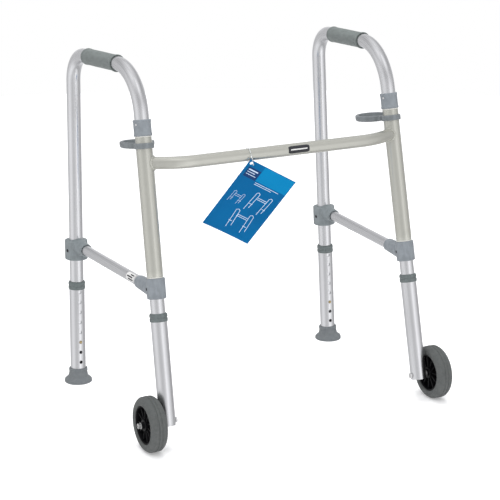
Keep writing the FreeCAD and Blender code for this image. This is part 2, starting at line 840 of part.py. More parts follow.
def make_trigger_spring(name, side):
    """The compression spring in the front leg that pushes the lock pin down."""
    base = PIN_ALONG + size("pin_radius + spring_wire + spring_wire")
    ring = size("spring_ring")
    per_turn = 12
    count = round(size("spring_length") / size("spring_pitch") * per_turn)
    coil_points = []
    for step in range(count + 1):
        around = Rotation(AXIS_Z, 360 * step / per_turn)
        rise = size("spring_pitch") * step / per_turn
        coil_points.append(around.multVec(Vector(ring, 0, rise)))
    curve = Part.BSplineCurve()
    curve.interpolate(coil_points)
    path = wire_feature(name + "_coil", [curve.toShape()])
    start = curve.tangent(curve.FirstParameter)[0]
    coil = swept(name + "_spring", path, 1, coil_points[0], start, "spring_wire")
    keep(name + "_trigger_spring", coil, front_leg(side) * shift(up=base))


def make_spring_stop(name, side):
    stop = span(name + "_stop", Placement(), "leg_radius - leg_wall - fixed_gap", "stop_low",
                "stop_low + stop_height")
    keep(name + "_spring_stop", stop, front_leg(side))


def bar_points():
    """The crossbar's corners: bowed towards the front, with a bend near each sleeve."""
    end = front_leg(1).multVec(Vector(0, 0, size("bar_along")))
    bend = Vector(size("bar_bend_half"), end.y - size("bar_bow"), end.z)
    right = [bend, end]
    left = [Vector(-p.x, p.y, p.z) for p in reversed(right)]
    return left + right


def make_crossbar():
    points = bar_points()
    edges = rounded_path(points, [size("bar_bend")] * 2)
    path = wire_feature("bar_path", edges)
    direction = points[1] - points[0]
    solid = swept("bar_outer", path, len(edges), points[0], direction, "bar_radius")
    hollow = swept("bar_hollow", path, len(edges), points[0], direction,
                   "bar_radius - bar_wall")
    copes = [span(f"{name}_cope", front_leg(side), "sleeve_radius + fixed_gap", "sleeve_low",
                  "sleeve_high") for name, side in SIDES]
    keep("crossbar", cut("bar_cut", solid, [hollow, *copes]))


# ------------------------------------------------------------------ hang tag
def tag_frame():
    """At the crossbar's centre line where the tag hangs, axes along the model's."""
    middle = bar_points()[1]
    return shift(size("tag_across"), middle.y, middle.z)


def make_tag():
    """A rectangular card in front of the bar, hung by a hole near one corner."""
    card = add("Part::Box", "tag_blank", shift(-size("tag_corner_inset"), 0,
                                               size("tag_corner_inset") - size("tag_height")))
    bind(card, Length="tag_width", Width="tag_thickness", Height="tag_height")
    hole = cylinder("tag_punch", shift(back=-size("tag_hole")) * turn(AXIS_X, -90), "tag_hole",
                    "tag_hole + tag_hole")
    hang = shift(0, -size("tag_front"), -size("tag_down"))
    tilt = turn(AXIS_Z, size("tag_yaw")) * turn(AXIS_X, size("tag_tilt"))
    keep("tag_card", cut("tag_cut", card, [hole]),
         tag_frame() * hang * tilt * turn(AXIS_Y, size("tag_turn")))


def make_tie():
    """A clear tie: round the bar, then both strands meet in front of the tag's hole."""
    ring = size("tie_ring")
    knot = Vector(0, -size("tie_forward"), -size("tie_down"))
    toward = Vector(knot).normalize()
    spread = degrees(acos(ring / knot.Length))
    touch = [Rotation(AXIS_X, way * spread).multVec(toward) * ring for way in (-1, 1)]
    corner = rounded_path([touch[1], knot, touch[0]], [size("tie_bend")])
    edges = [Part.Arc(touch[0], toward * -ring, touch[1]).toShape(), *corner]
    loop = Part.Wire(edges)
    start = edges[0].valueAt(edges[0].FirstParameter)
    tangent = edges[0].tangentAt(edges[0].FirstParameter)
    section = Part.Wire(Part.Circle(start, tangent, size("tie_wire")).toShape())
    item = doc.addObject("Part::Feature", "tie_wire_loop")
    item.Shape = loop.makePipeShell([section], True, False)
    keep("tag_tie", item, tag_frame())


def build():
    for name, side in SIDES:
        make_sleeve(name, side)
        make_liners(name, side)
        make_side_tube(name, side)
        make_grip(name, side)
        make_collar(name, side)
        make_connector(name, side, "front")
        make_connector(name, side, "rear")
        make_brace(name, side)
        make_rivets(name, side)
        make_snap_springs(name, side)
        make_button(name, side, "front", 1)
        make_button(name, side, "rear", -1)
        make_rear_extension(name, side)
        make_front_extension(name, side)
        make_ring(name, side, "rear", rear_leg(side))
        make_ring(name, side, "front", front_leg(side))
        make_tip(name, side)
        make_tip_washer(name, side)
        make_tyre(name, side)
        make_hub(name, side)
        make_bush(name, side)
        make_washers(name, side)
        make_bolt(name, side)
        make_nut(name, side)
        make_trigger(name, side)
        make_pin(name, side)
        make_trigger_spring(name, side)
        make_spring_stop(name, side)
    make_crossbar()
    make_tag()
    make_tie()
    doc.recompute()


def check():
    for item in doc.Objects:
        if "Invalid" in item.State or "Error" in item.State:
            raise RuntimeError(f"{item.Label} failed: {item.State}")
    for label, item in nodes.items():
        if item.Shape.isNull() or not item.Shape.isValid() or not item.Shape.Solids:
            raise RuntimeError(f"{label} has no valid solid")


def centre_on_origin():
    """Moves every sub-part so that the whole stands over the origin, and returns the move."""
    box = FreeCAD.BoundBox()
    for item in nodes.values():
        box.add(item.Shape.optimalBoundingBox(False, False))
    move = Vector(-(box.XMin + box.XMax) / 2, -(box.YMin + box.YMax) / 2, -box.ZMin)
    for item in nodes.values():
        item.Placement = Placement(move, Rotation()) * item.Placement
    doc.recompute()
    print("size", round(box.XLength, 2), round(box.YLength, 2), round(box.ZLength, 2))
    print("moved by", tuple(round(part, 3) for part in move))
    return move


def export():
    os.makedirs("parts", exist_ok=True)
    for label, item in nodes.items():
        item.Shape.exportStep(f"parts/{label}.step")
    print(len(nodes), "sub-parts written")


build()
check()
ORIGIN_MOVE = centre_on_origin()
check()
export()
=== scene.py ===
import json
from math import acos, cos, hypot, pi, radians, sin, sqrt, tau

import bmesh
import bpy
import numpy as np
from mathutils import Matrix, Vector


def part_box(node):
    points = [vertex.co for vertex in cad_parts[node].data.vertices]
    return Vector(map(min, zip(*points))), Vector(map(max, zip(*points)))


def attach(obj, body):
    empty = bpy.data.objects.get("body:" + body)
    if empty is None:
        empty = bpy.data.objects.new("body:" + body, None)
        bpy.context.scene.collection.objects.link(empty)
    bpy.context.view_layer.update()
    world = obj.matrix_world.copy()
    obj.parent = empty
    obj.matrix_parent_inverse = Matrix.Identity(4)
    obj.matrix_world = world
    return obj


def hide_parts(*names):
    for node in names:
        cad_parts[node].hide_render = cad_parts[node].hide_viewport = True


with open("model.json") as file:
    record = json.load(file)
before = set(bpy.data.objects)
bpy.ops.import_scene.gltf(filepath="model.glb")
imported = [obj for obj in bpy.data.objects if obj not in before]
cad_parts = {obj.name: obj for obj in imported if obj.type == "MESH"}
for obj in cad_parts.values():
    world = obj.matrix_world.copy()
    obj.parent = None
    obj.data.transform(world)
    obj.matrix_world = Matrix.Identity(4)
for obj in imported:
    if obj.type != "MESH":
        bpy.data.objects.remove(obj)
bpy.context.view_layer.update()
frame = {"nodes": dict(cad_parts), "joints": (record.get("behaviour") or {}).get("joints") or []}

# The looks of a folding walking frame. Shapes are built in millimetres in the frame of the CAD
# part they stand for, and each vertex carries its unbent place, "grain", which the materials
# read, so that brushing and mottling follow the bends of a tube.
MM = 0.001
ROUND = 64
NAMES = ("left", "right")
JOINTS = {joint["name"]: joint for joint in frame["joints"]}


# ---------- reading the CAD frame ----------
def vertices(node):
    """A CAD node's vertices in millimetres."""
    mesh = frame["nodes"][node].data
    flat = np.empty(len(mesh.vertices) * 3)
    mesh.vertices.foreach_get("co", flat)
    return flat.reshape(-1, 3) / MM


def oriented(origin, up, back):
    """A frame with +Z along up, and +Y as near to back as it can be."""
    z = Vector(up).normalized()
    x = Vector(back).cross(z).normalized()
    place = Matrix((x, z.cross(x), z)).transposed().to_4x4()
    place.translation = origin
    return place


def points_of(node, place):
    """A CAD node's vertices seen from a frame."""
    back = np.array(place.inverted())
    return vertices(node) @ back[:3, :3].T + back[:3, 3]


def centred_on(node, up, back):
    """A frame along a round node's axis, with its origin where that axis meets the floor."""
    turned = oriented((0, 0, 0), up, back)
    seen = points_of(node, turned)
    middle = turned @ Vector((seen.min(0) + seen.max(0)) / 2)
    rise = turned.col[2].to_3d()
    turned.translation = middle - rise * (middle.z / rise.z)
    return turned


def axis_of(node):
    """The middle and the direction of a long round node's axis."""
    points = vertices(node)
    middle = points.mean(0)
    direction = np.linalg.svd(points - middle, full_matrices=False)[2][0]
    return Vector(middle), Vector(direction)


def off_axis(points):
    """How far each point is from its frame's +Z."""
    return np.hypot(points[:, 0], points[:, 1])


def measured(node, place):
    """How far a node reaches along a frame's +Z, then its least and greatest radius."""
    seen = points_of(node, place)
    reach = off_axis(seen)
    return seen[:, 2].min(), seen[:, 2].max(), reach.min(), reach.max()


def rail_place(node):
    """A long round node's frame: +Z along it towards the rear, origin at its front end."""
    middle, line = axis_of(node)
    if line.y < 0:
        line = -line
    place = oriented(middle, line, (0, 0, 1))
    place.translation = middle + line * measured(node, place)[0]
    return place


def nearest(point, direction, other_point, other_direction):
    """The point of one line that is nearest to another line."""
    across = direction.cross(other_direction)
    reach = (other_point - point).cross(other_direction).dot(across) / across.length_squared
    return point + direction * reach


def leg_places(name):
    """The frames of a side's front and rear legs: +Z up the leg, +Y towards the rear."""
    ups = {end: -Vector(JOINTS[f"{name}_{end}_leg_length"]["axis"]) for end in ("front", "rear")}
    feet = {end: centred_on(f"{name}_{end}_ring", ups[end], (0, 1, 0)).translation
            for end in ups}
    back = feet["rear"] - feet["front"]
    return {end: oriented(feet[end], ups[end], back) for end in ups}


LEGS = {name: leg_places(name) for name in NAMES}


# ---------- outlines and shapes ----------
def eased(corners, closed, steps):
    """An outline from corners (x, y, rounding), each rounded by a short curve. A corner
    without a rounding stays sharp."""
    made = []
    count = len(corners)
    for i, (x, y, *rounding) in enumerate(corners):
        here = Vector((x, y))
        if not any(rounding) or (not closed and i in (0, count - 1)):
            made.append((x, y))
            continue
        ends = []
        for other in (corners[i - 1], corners[(i + 1) % count]):
            away = Vector(other[:2]) - here
            ends.append(here + away * min(rounding[0] / away.length, 0.49))
        for step in range(steps + 1):
            t = step / steps
            point = ends[0] * (1 - t) ** 2 + here * 2 * t * (1 - t) + ends[1] * t ** 2
            made.append((point.x, point.y))
    return made


def divided(outline, closed, length):
    """An outline with points added, so that no run is longer than length."""
    made = [outline[0]]
    for start, end in zip(outline, outline[1:] + outline[:1] * closed):
        runs = max(1, round(hypot(end[0] - start[0], end[1] - start[1]) / length))
        for run in range(1, runs + 1):
            made.append(tuple(a + (b - a) * run / runs for a, b in zip(start, end)))
    return made[:-1] if closed else made


UNMOVED = Matrix.Identity(4)


def spun(degrees, axis):
    return Matrix.Rotation(radians(degrees), 4, axis)


def moved(x, y, z):
    return Matrix.Translation((x, y, z))


class Shape:
    """Points in millimetres, the faces between them, and each point's grain."""

    def __init__(self):
        self.points = []
        self.grain = []
        self.faces = []

    def add(self, points, faces, place=UNMOVED, grain=None):
        first = len(self.points)
        self.points += [place @ Vector(p) for p in points]
        self.grain += [Vector(p) for p in (points if grain is None else grain)]
        self.faces += [[first + i for i in face] for face in faces]
        return self

    def join(self, other, place=UNMOVED):
        return self.add(other.points, other.faces, place, other.grain)


def lofted(rings, closed=False):
    """The faces between rings of point numbers, each ring with the next."""
    faces = []
    for below, above in list(zip(rings, rings[1:])) + ([(rings[-1], rings[0])] if closed else []):
        for i in range(len(below)):
            j = (i + 1) % len(below)
            faces.append(list(dict.fromkeys((below[i], below[j], above[j], above[i]))))
    return [face for face in faces if len(face) > 2]


def numbered(count, size, first=0):
    """Point numbers of so many rings of one size, one after another."""
    return [range(first + i * size, first + (i + 1) * size) for i in range(count)]


def turned(corners, closed=False, steps=4, run=None, columns=ROUND, radius_at=None,
           height_at=None):
    """A shape turned about +Z from corners (radius, height, rounding), with no run of its
    outline longer than run. A radius of nought closes it.
    radius_at(radius, height, angle) and height_at(radius, height, angle) may shape it."""
    outline = eased(corners, closed, steps)
    if run:
        outline = divided(outline, closed, run)
    points, rings = [], []
    for radius, height in outline:
        if radius < 1e-6:
            rings.append([len(points)] * columns)
            points.append((0, 0, height))
            continue
        rings.append(range(len(points), len(points) + columns))
        for i in range(columns):
            angle = tau * i / columns
            r = radius_at(radius, height, angle) if radius_at else radius
            z = height_at(radius, height, angle) if height_at else height
            points.append((r * cos(angle), r * sin(angle), z))
    return Shape().add(points, lofted(rings, closed))


def bar(radius, low, high, edge=0.0, columns=ROUND):
    """A plain round solid along +Z, with its edges eased."""
    return turned([(0, low), (radius, low, edge), (radius, high, edge), (0, high)],
                  columns=columns)


def open_tube(radius, wall, length, depth, run):
    """A tube along +Z, open for some depth at both ends."""
    inner = radius - wall
    return turned([(0, depth), (inner, depth, 1), (inner, 0, 0.5), (radius, 0, 0.5),
                   (radius, length, 0.5), (inner, length, 0.5), (inner, length - depth, 1),
                   (0, length - depth)], run=run)


def panel(columns, rows, point_at):
    """A thin closed panel. point_at(u, v, side) places a point of its front (side 0) or its
    back (side 1), for u and v from nought to one."""
    points = [point_at(i / columns, k / rows, side) for side in (0, 1)
              for i in range(columns + 1) for k in range(rows + 1)]
    layer = (columns + 1) * (rows + 1)
    faces = []
    for i in range(columns):
        for k in range(rows):
            a = i * (rows + 1) + k
            face = [a, a + 1, a + rows + 2, a + rows + 1]
            faces += [face, [layer + c for c in reversed(face)]]
    rim = [i * (rows + 1) for i in range(columns + 1)]
    rim += [columns * (rows + 1) + k for k in range(1, rows + 1)]
    rim += [i * (rows + 1) + rows for i in range(columns - 1, -1, -1)]
    rim += list(range(rows - 1, 0, -1))
    return Shape().add(points, faces + lofted([rim, [layer + c for c in rim]]))


class Path:
    """A line through rounded corners in one plane, measured along its length."""

    def __init__(self, corners, radii, normal):
        fine = [corners[0]]
        for before, corner, after, radius in zip(corners, corners[1:], corners[2:], radii):
            to_before = (before - corner).normalized()
            to_after = (after - corner).normalized()
            half = to_before.angle(to_after) / 2
            centre = corner + (to_before + to_after).normalized() * (radius / sin(half))
            first = corner + to_before * (radius / sin(half) * cos(half)) - centre
            last = corner + to_after * (radius / sin(half) * cos(half)) - centre
            sweep = first.angle(last)
            for step in range(25):
                t = step / 24
                fine.append(centre + (first * sin((1 - t) * sweep) + last * sin(t * sweep))
                            / sin(sweep))
        fine.append(corners[-1])
        self.fine = np.array(fine)
        runs = np.linalg.norm(np.diff(self.fine, axis=0), axis=1)
        self.along = np.concatenate(([0], np.cumsum(runs)))
        self.length = self.along[-1]
        self.normal = normal.normalized()

    def at(self, along):
        """The point and the direction at a distance along the path."""
        small = 0.5
        near = min(max(along, small), self.length - small)
        low, here, high = ([np.interp(near + step, self.along, self.fine[:, axis])
                            for axis in range(3)] for step in (-small, 0, small))
        direction = (Vector(high) - Vector(low)).normalized()
        return Vector(here) + direction * (along - near), direction

    def bent(self, shape):
        """Carries a shape built about +Z onto the path."""
        stations = {}
        points = []
        for x, y, z in shape.points:
            if z not in stations:
                centre, direction = self.at(z)
                stations[z] = (centre, self.normal, direction.cross(self.normal))
            centre, u, v = stations[z]
            points.append(centre + u * x + v * y)
        return Shape().add(points, shape.faces, grain=shape.grain)


def mesh_from(name, shape):
    mesh = bpy.data.meshes.new(name)
    mesh.from_pydata([p * MM for p in shape.points], [], shape.faces)
    grain = mesh.attributes.new("grain", "FLOAT_VECTOR", "POINT")
    grain.data.foreach_set("vector", [c * MM for p in shape.grain for c in p])
    sides = bmesh.new()
    sides.from_mesh(mesh)
    bmesh.ops.remove_doubles(sides, verts=sides.verts, dist=1e-7)
    bmesh.ops.recalc_face_normals(sides, faces=sides.faces)
    sides.to_mesh(mesh)
    sides.free()
    return mesh


def piece(name, shape, place, body, material, replaces=(), sharp=38):
    """A finished piece: its mesh, frame, body, finish, and the CAD nodes it stands for."""
    made = bpy.data.objects.new(name, mesh_from(name, shape))
    bpy.context.scene.collection.objects.link(made)
    made.data.materials.append(material)
    made.data.shade_smooth()
    made.data.set_sharp_from_angle(angle=radians(sharp))
    metres = place.copy()
    metres.translation = place.translation * MM
    made.matrix_world = metres
    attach(made, body)
    if replaces:
        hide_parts(*replaces)
    return made


def carved(shape, cutters, voxel=0.0, rounds=0):
    """A solid bored by cutters. With a voxel size, overlapping solids first become one skin,
    with its inner corners filled and its edges eased."""
    holder = bpy.data.objects.new("blank", mesh_from("blank", shape))
    tools = [bpy.data.objects.new("cutter", mesh_from("cutter", cutter)) for cutter in cutters]
    for item in (holder, *tools):
        bpy.context.scene.collection.objects.link(item)
    if voxel:
        skin = holder.modifiers.new("skin", "REMESH")
        skin.mode = "VOXEL"
        skin.voxel_size = voxel * MM
        ease = holder.modifiers.new("ease", "SMOOTH")
        ease.factor = 0.5
        ease.iterations = rounds
    for tool in tools:
        bore = holder.modifiers.new("bore", "BOOLEAN")
        bore.object = tool
        bore.operation = "DIFFERENCE"
        bore.solver = "EXACT"
    graph = bpy.context.evaluated_depsgraph_get()
    mesh = bpy.data.meshes.new_from_object(holder.evaluated_get(graph))
    points = [tuple(v.co / MM) for v in mesh.vertices]
    faces = [list(p.vertices) for p in mesh.polygons]
    for item in (holder, *tools):
        bpy.data.objects.remove(item)
    return Shape().add(points, faces)


def punched(outer, inner, low, high, holes):
    """A tube about +Z with rounded holes through one wall. Each hole is (height, angle,
    half width, half height); the grid of quads is opened around it."""
    reach = 4
    margin = 2.9
    row_height, longest = 1.65, 12
    heights = {low, high}
    for middle, _, _, tall in holes:
        rows = 2 * round((tall + margin) / row_height)
        heights |= {middle - tall - margin + (tall + margin) * 2 * i / rows
                    for i in range(rows + 1)}
    marks = sorted(heights)
    levels = [marks[0]]
    for mark in marks[1:]:
        runs = max(1, round((mark - levels[-1]) / longest))
        levels += [levels[-1] + (mark - levels[-1]) * (i + 1) / runs for i in range(runs)]
    points, faces = [], []

    def put(radius, across, height):
        """A point of the wall at an arc's angle, or at a distance across from a hole."""
        points.append((radius * cos(across), radius * sin(across), height))
        return len(points) - 1

    step = tau / ROUND
    walls = []
    openings = {}
    for radius in (outer, inner):
        grid = {}
        for row, level in enumerate(levels):
            inset = 0.25 if row in (0, len(levels) - 1) and radius == outer else 0
            for column in range(ROUND):
                grid[row, column] = put(radius - inset, column * step, level)
        taken = set()
        for number, (middle, angle, wide, tall) in enumerate(holes):
            centre = round(angle / step)
            first = min(range(len(levels)), key=lambda i: abs(levels[i] - middle + tall + margin))
            last = min(range(len(levels)), key=lambda i: abs(levels[i] - middle - tall - margin))
            taken |= {(row, (centre + c) % ROUND) for row in range(first, last)
                      for c in range(-reach, reach)}
            rim = [(first, c) for c in range(-reach, reach)]
            rim += [(row, reach) for row in range(first, last)]
            rim += [(last, c) for c in range(reach, -reach, -1)]
            rim += [(row, -reach) for row in range(last, first, -1)]
            rings = [[grid[row, (centre + c) % ROUND] for row, c in rim]]
            # From the grid's square to the hole's edge: how round, how far out, how deep.
            for share, grow, sink in ((0.55, 1.0, 0), (1, 0.9, 0), (1, 0.4, -0.05), (1, 0, 0.25)):
                ring = []
                for row, c in rim:
                    x, z = c * step * radius, levels[row] - middle
                    spine = max(-(tall - wide), min(tall - wide, z))
                    away = Vector((x, z - spine)).normalized() * (wide + grow)
                    side = (1 - share) * x + share * away.x
                    height = (1 - share) * z + share * (spine + away.y)
                    depth = -sink if radius == outer else sink
                    ring.append(put(radius + depth, centre * step + side / radius,
                                    middle + height))
                rings.append(ring)
            openings[number, radius] = rings[-1]
            faces += lofted(rings)
        for row in range(len(levels) - 1):
            for column in range(ROUND):
                if (row, column) not in taken:
                    after = (column + 1) % ROUND
                    faces.append([grid[row, column], grid[row, after], grid[row + 1, after],
                                  grid[row + 1, column]])
        walls.append(grid)
    for row in (0, len(levels) - 1):
        faces += lofted([[grid[row, column] for column in range(ROUND)] for grid in walls])
    for number in range(len(holes)):
        faces += lofted([openings[number, outer], openings[number, inner]])
    return Shape().add(points, faces)


# ---------- materials ----------
class Nodes:
    """Shorthand for building a node tree."""

    def __init__(self, tree):
        self.tree = tree

    def node(self, kind, **settings):
        made = self.tree.nodes.new("ShaderNode" + kind)
        for key, value in settings.items():
            setattr(made, key, value)
        return made

    def feed(self, socket, value):
        """Links an output into a socket, or sets the socket's own value."""
        if isinstance(value, bpy.types.NodeSocket):
            self.tree.links.new(value, socket)
        else:
            socket.default_value = value

    def ranged(self, value, **ends):
        """A value mapped from one range to another, such as From_Min=0.4."""
        made = self.node("MapRange")
        self.feed(made.inputs["Value"], value)
        for name, end in ends.items():
            made.inputs[name.replace("_", " ")].default_value = end
        return made.outputs["Result"]

    def mixed(self, share, first, second, blend="MIX"):
        """Two colours mixed by a share."""
        made = self.node("Mix", data_type="RGBA", blend_type=blend)
        for number, value in ((0, share), (6, first), (7, second)):
            self.feed(made.inputs[number], value)
        return made.outputs[2]

    def ramp(self, value, stops):
        """Nearly neutral light by a value, from pairs of a position and a level."""
        made = self.node("ValToRGB")
        self.feed(made.inputs["Fac"], value)
        made.color_ramp.interpolation = "EASE"
        while len(made.color_ramp.elements) < len(stops):
            made.color_ramp.elements.new(0.5)
        for element, (position, level) in zip(made.color_ramp.elements, stops):
            element.position = position
            element.color = (level, level, level * 1.01, 1)
        return made.outputs["Color"]


class Finish(Nodes):
    """A Principled material whose colour, roughness and bump come from noise on the grain."""

    def __init__(self, name, colour, roughness, metallic=0.0, **sockets):
        self.material = bpy.data.materials.new(name)
        self.material.use_nodes = True
        super().__init__(self.material.node_tree)
        self.inputs = self.tree.nodes["Principled BSDF"].inputs
        self.inputs["Metallic"].default_value = metallic
        self.inputs["Roughness"].default_value = roughness
        self.inputs["Base Color"].default_value = (*colour, 1)
        for socket, value in sockets.items():
            self.inputs[socket.replace("_", " ")].default_value = value
        self.grain = self.node("Attribute", attribute_name="grain").outputs["Vector"]
        self.base = colour
        self.colour = (*colour, 1)
        self.bumps = None

    def stretched(self, scale):
        """The grain's coordinates, in repeats per metre along each axis."""
        mapping = self.node("Mapping")
        mapping.inputs["Scale"].default_value = scale
        self.feed(mapping.inputs["Vector"], self.grain)
        return mapping.outputs["Vector"]

    def noise(self, scale, detail=3.0, rough=0.5, low=0.35, high=0.65):
        """Noise from nought to one, with more contrast the nearer low and high are."""
        made = self.node("TexNoise")
        made.inputs["Scale"].default_value = 1.0
        made.inputs["Detail"].default_value = detail
        made.inputs["Roughness"].default_value = rough
        self.feed(made.inputs["Vector"], self.stretched(scale))
        return self.ranged(made.outputs["Fac"], From_Min=low, From_Max=high)

    def cells(self, scale):
        made = self.node("TexVoronoi")
        made.inputs["Scale"].default_value = 1.0
        self.feed(made.inputs["Vector"], self.stretched(scale))
        return made.outputs["Distance"]

    def edges(self, low, high):
        """Nought on flats and one on outer edges, where handling wears a surface."""
        return self.ranged(self.node("NewGeometry").outputs["Pointiness"],
                           From_Min=low, From_Max=high)

    def tint(self, mask, colour, amount):
        """Mixes a colour in where a mask is high. A number stands for the base times it."""
        share = self.node("Math", operation="MULTIPLY")
        share.inputs[1].default_value = amount
        self.feed(share.inputs[0], mask)
        if not isinstance(colour, tuple):
            colour = [min(1, level * colour) for level in self.base]
        self.colour = self.mixed(share.outputs[0], self.colour, (*colour, 1))
        self.feed(self.inputs["Base Color"], self.colour)

    def sheen_by(self, mask, smooth, rough):
        """Roughness between two values, by a mask."""
        self.feed(self.inputs["Roughness"], self.ranged(mask, To_Min=smooth, To_Max=rough))

    def bump(self, mask, height, strength=1.0):
        """Raises the surface by a height in millimetres where a mask is high."""
        made = self.node("Bump")
        made.inputs["Strength"].default_value = strength
        made.inputs["Distance"].default_value = height * MM
        self.feed(made.inputs["Height"], mask)
        if self.bumps is not None:
            self.feed(made.inputs["Normal"], self.bumps)
        self.bumps = made.outputs["Normal"]
        self.feed(self.inputs["Normal"], self.bumps)
        return self


def aluminium(name, colour, roughness):
    """Satin anodised tube: fine drawing lines along it, faint clouds and a few scuffs."""
    made = Finish(name, colour, roughness, metallic=1.0)
    lines = made.noise((2600, 2600, 9), detail=2, low=0.3, high=0.7)
    clouds = made.noise((34, 34, 11), detail=4)
    scuffs = made.noise((420, 420, 60), detail=5, rough=0.7, low=0.66, high=0.74)
    made.tint(clouds, 0.93, 0.7)
    made.tint(lines, 0.9, 0.45)
    made.tint(scuffs, 0.72, 0.5)
    made.sheen_by(lines, roughness - 0.05, roughness + 0.07)
    return made.bump(lines, 0.012, 0.6).material


def enamel(name, colour):
    """Glossy warm grey enamel with a slight orange peel, clouds and tiny specks."""
    made = Finish(name, colour, 0.22, metallic=0.6, Coat_Weight=0.6, Coat_Roughness=0.06)
    made.tint(made.noise((30, 30, 12), detail=3, low=0.2, high=0.8), 0.92, 0.4)
    specks = made.noise((900, 900, 900), detail=2, low=0.68, high=0.72)
    made.tint(specks, 0.6, 0.45)
    made.tint(made.edges(0.53, 0.6), 1.35, 0.5)
    made.sheen_by(made.noise((90, 90, 30), low=0.2, high=0.8), 0.18, 0.24)
    return made.bump(made.noise((380, 380, 380), detail=1), 0.02, 0.4).material


def plastic(name, colour, roughness, grain=0.02):
    """Moulded nylon: flow clouds, fine spark-eroded grain and rubbed edges."""
    made = Finish(name, colour, roughness)
    made.tint(made.noise((95, 95, 70), detail=5, rough=0.6), 0.72, 0.7)
    made.tint(made.noise((260, 260, 40), detail=3, low=0.5, high=0.75), 1.3, 0.35)
    made.tint(made.edges(0.52, 0.58), 1.45, 0.4)
    made.sheen_by(made.noise((300, 300, 300)), roughness - 0.07, roughness + 0.08)
    return made.bump(made.noise((1900, 1900, 1900), detail=2), grain).material


def foam(name, colour):
    """Soft foamed vinyl: fine open pores, skin clouds and rubbed palms."""
    made = Finish(name, colour, 0.82, Sheen_Weight=0.12, Sheen_Roughness=0.6)
    pores = made.cells((760, 760, 760))
    made.tint(made.noise((120, 120, 60), detail=5, rough=0.65), 0.7, 0.7)
    made.tint(made.noise((700, 700, 700), detail=2, low=0.55, high=0.7), 1.35, 0.35)
    made.sheen_by(made.noise((50, 50, 25)), 0.7, 0.9)
    made.bump(made.noise((330, 330, 330), detail=3), 0.16, 0.7)
    return made.bump(pores, 0.12, 0.8).material


def rubber(name, colour, dust):
    """Moulded rubber: dull, with dusty bloom in clouds and lighter worn edges."""
    made = Finish(name, colour, 0.72)
    made.tint(made.noise((80, 80, 80), detail=6, rough=0.7), dust, 0.4)
    made.tint(made.noise((520, 520, 520), detail=2, low=0.55, high=0.7), 0.7, 0.5)
    made.tint(made.edges(0.515, 0.57), 1.6, 0.5)
    made.sheen_by(made.noise((140, 140, 140)), 0.6, 0.84)
    return made.bump(made.noise((1300, 1300, 1300), detail=3), 0.05, 0.8).material


def gloss_plastic(name, colour):
    """Black moulded hub: shiny, with faint flow marks, dust and bright edges."""
    made = Finish(name, colour, 0.4, Specular_IOR_Level=0.12)
    made.tint(made.noise((150, 150, 150), detail=5, rough=0.7, low=0.55, high=0.8),
              (0.016, 0.016, 0.016), 0.5)
    made.tint(made.edges(0.53, 0.6), (0.035, 0.035, 0.035), 0.7)
    made.sheen_by(made.noise((220, 220, 220)), 0.34, 0.55)
    return made.bump(made.noise((900, 900, 900), detail=1), 0.02).material


def plated(name, colour, roughness):
    """Plated or polished metal: fine turning lines, spots of dulling, bright edges."""
    made = Finish(name, colour, roughness, metallic=1.0)
    made.tint(made.noise((240, 240, 240), detail=4), 0.72, 0.6)
    made.tint(made.edges(0.53, 0.6), 1.3, 0.6)
    made.sheen_by(made.noise((500, 500, 90)), roughness - 0.08, roughness + 0.12)
    return made.bump(made.noise((700, 700, 3500), detail=1), 0.01, 0.6).material


def card(name, colour, shade):
    """Laminated printed card: even ink with faint banding under a glossy film."""
    made = Finish(name, colour, 0.5, Specular_IOR_Level=0.06)
    made.tint(made.noise((9, 9, 9), detail=1), shade, 0.7)
    made.tint(made.noise((1500, 40, 1500), detail=2), shade, 0.35)
    made.sheen_by(made.noise((120, 120, 120)), 0.36, 0.55)
    return made.bump(made.noise((35, 35, 35), detail=1), 0.08, 0.5).material


def clear(name):
    """Clear nylon of the hanging loop, faintly clouded."""
    made = Finish(name, (0.9, 0.93, 0.95), 0.18, Transmission_Weight=0.7, IOR=1.49)
    made.tint(made.noise((300, 300, 60)), (0.78, 0.82, 0.84), 0.5)
    made.sheen_by(made.noise((500, 500, 500)), 0.12, 0.3)
    return made.bump(made.noise((900, 900, 60)), 0.02).material


TUBE = aluminium("tube_anodised", (0.78, 0.785, 0.795), 0.27)
EXTENSION = aluminium("extension_anodised", (0.76, 0.765, 0.775), 0.3)
PAINT = enamel("frame_enamel", (0.478, 0.478, 0.43))
PLASTIC = plastic("connector_plastic", (0.228, 0.252, 0.274), 0.5)
REAR_PLASTIC = plastic("rear_connector_plastic", (0.196, 0.222, 0.232), 0.52)
LATCH = plastic("latch_plastic", (0.178, 0.195, 0.205), 0.44)
RING = plastic("ring_plastic", (0.125, 0.148, 0.148), 0.46)
GRIP = foam("grip_foam", (0.132, 0.153, 0.148))
TIP = rubber("tip_rubber", (0.14, 0.155, 0.165), (0.21, 0.22, 0.22))
TYRE = rubber("tyre_rubber", (0.08, 0.086, 0.084), (0.125, 0.13, 0.128))
HUB = gloss_plastic("hub_plastic", (0.004, 0.004, 0.005))
NYLON = plastic("white_nylon", (0.62, 0.62, 0.58), 0.42, grain=0.01)
ZINC = plated("zinc_plate", (0.86, 0.86, 0.85), 0.4)
SPRING = plated("spring_steel", (0.33, 0.33, 0.34), 0.38)
# Near-black rivet metal is painted shade: it stands in for the dark rivet holes.
RIVET_PAINTED_SHADE = plated("dark_rivet", (0.055, 0.055, 0.06), 0.45)
BRASS = plated("brass", (0.56, 0.44, 0.24), 0.27)
BLUE = card("card_blue", (0.0, 0.122, 0.315), (0.0, 0.09, 0.245))
PALE_BLUE = card("card_pale_blue", (0.0, 0.21, 0.45), (0.0, 0.17, 0.385))
NAVY = card("card_navy", (0.012, 0.052, 0.165), (0.008, 0.036, 0.12))
INK = card("card_white_ink", (0.62, 0.72, 0.85), (0.5, 0.62, 0.78))
LABEL = card("label_film", (0.7, 0.7, 0.69), (0.6, 0.6, 0.59))
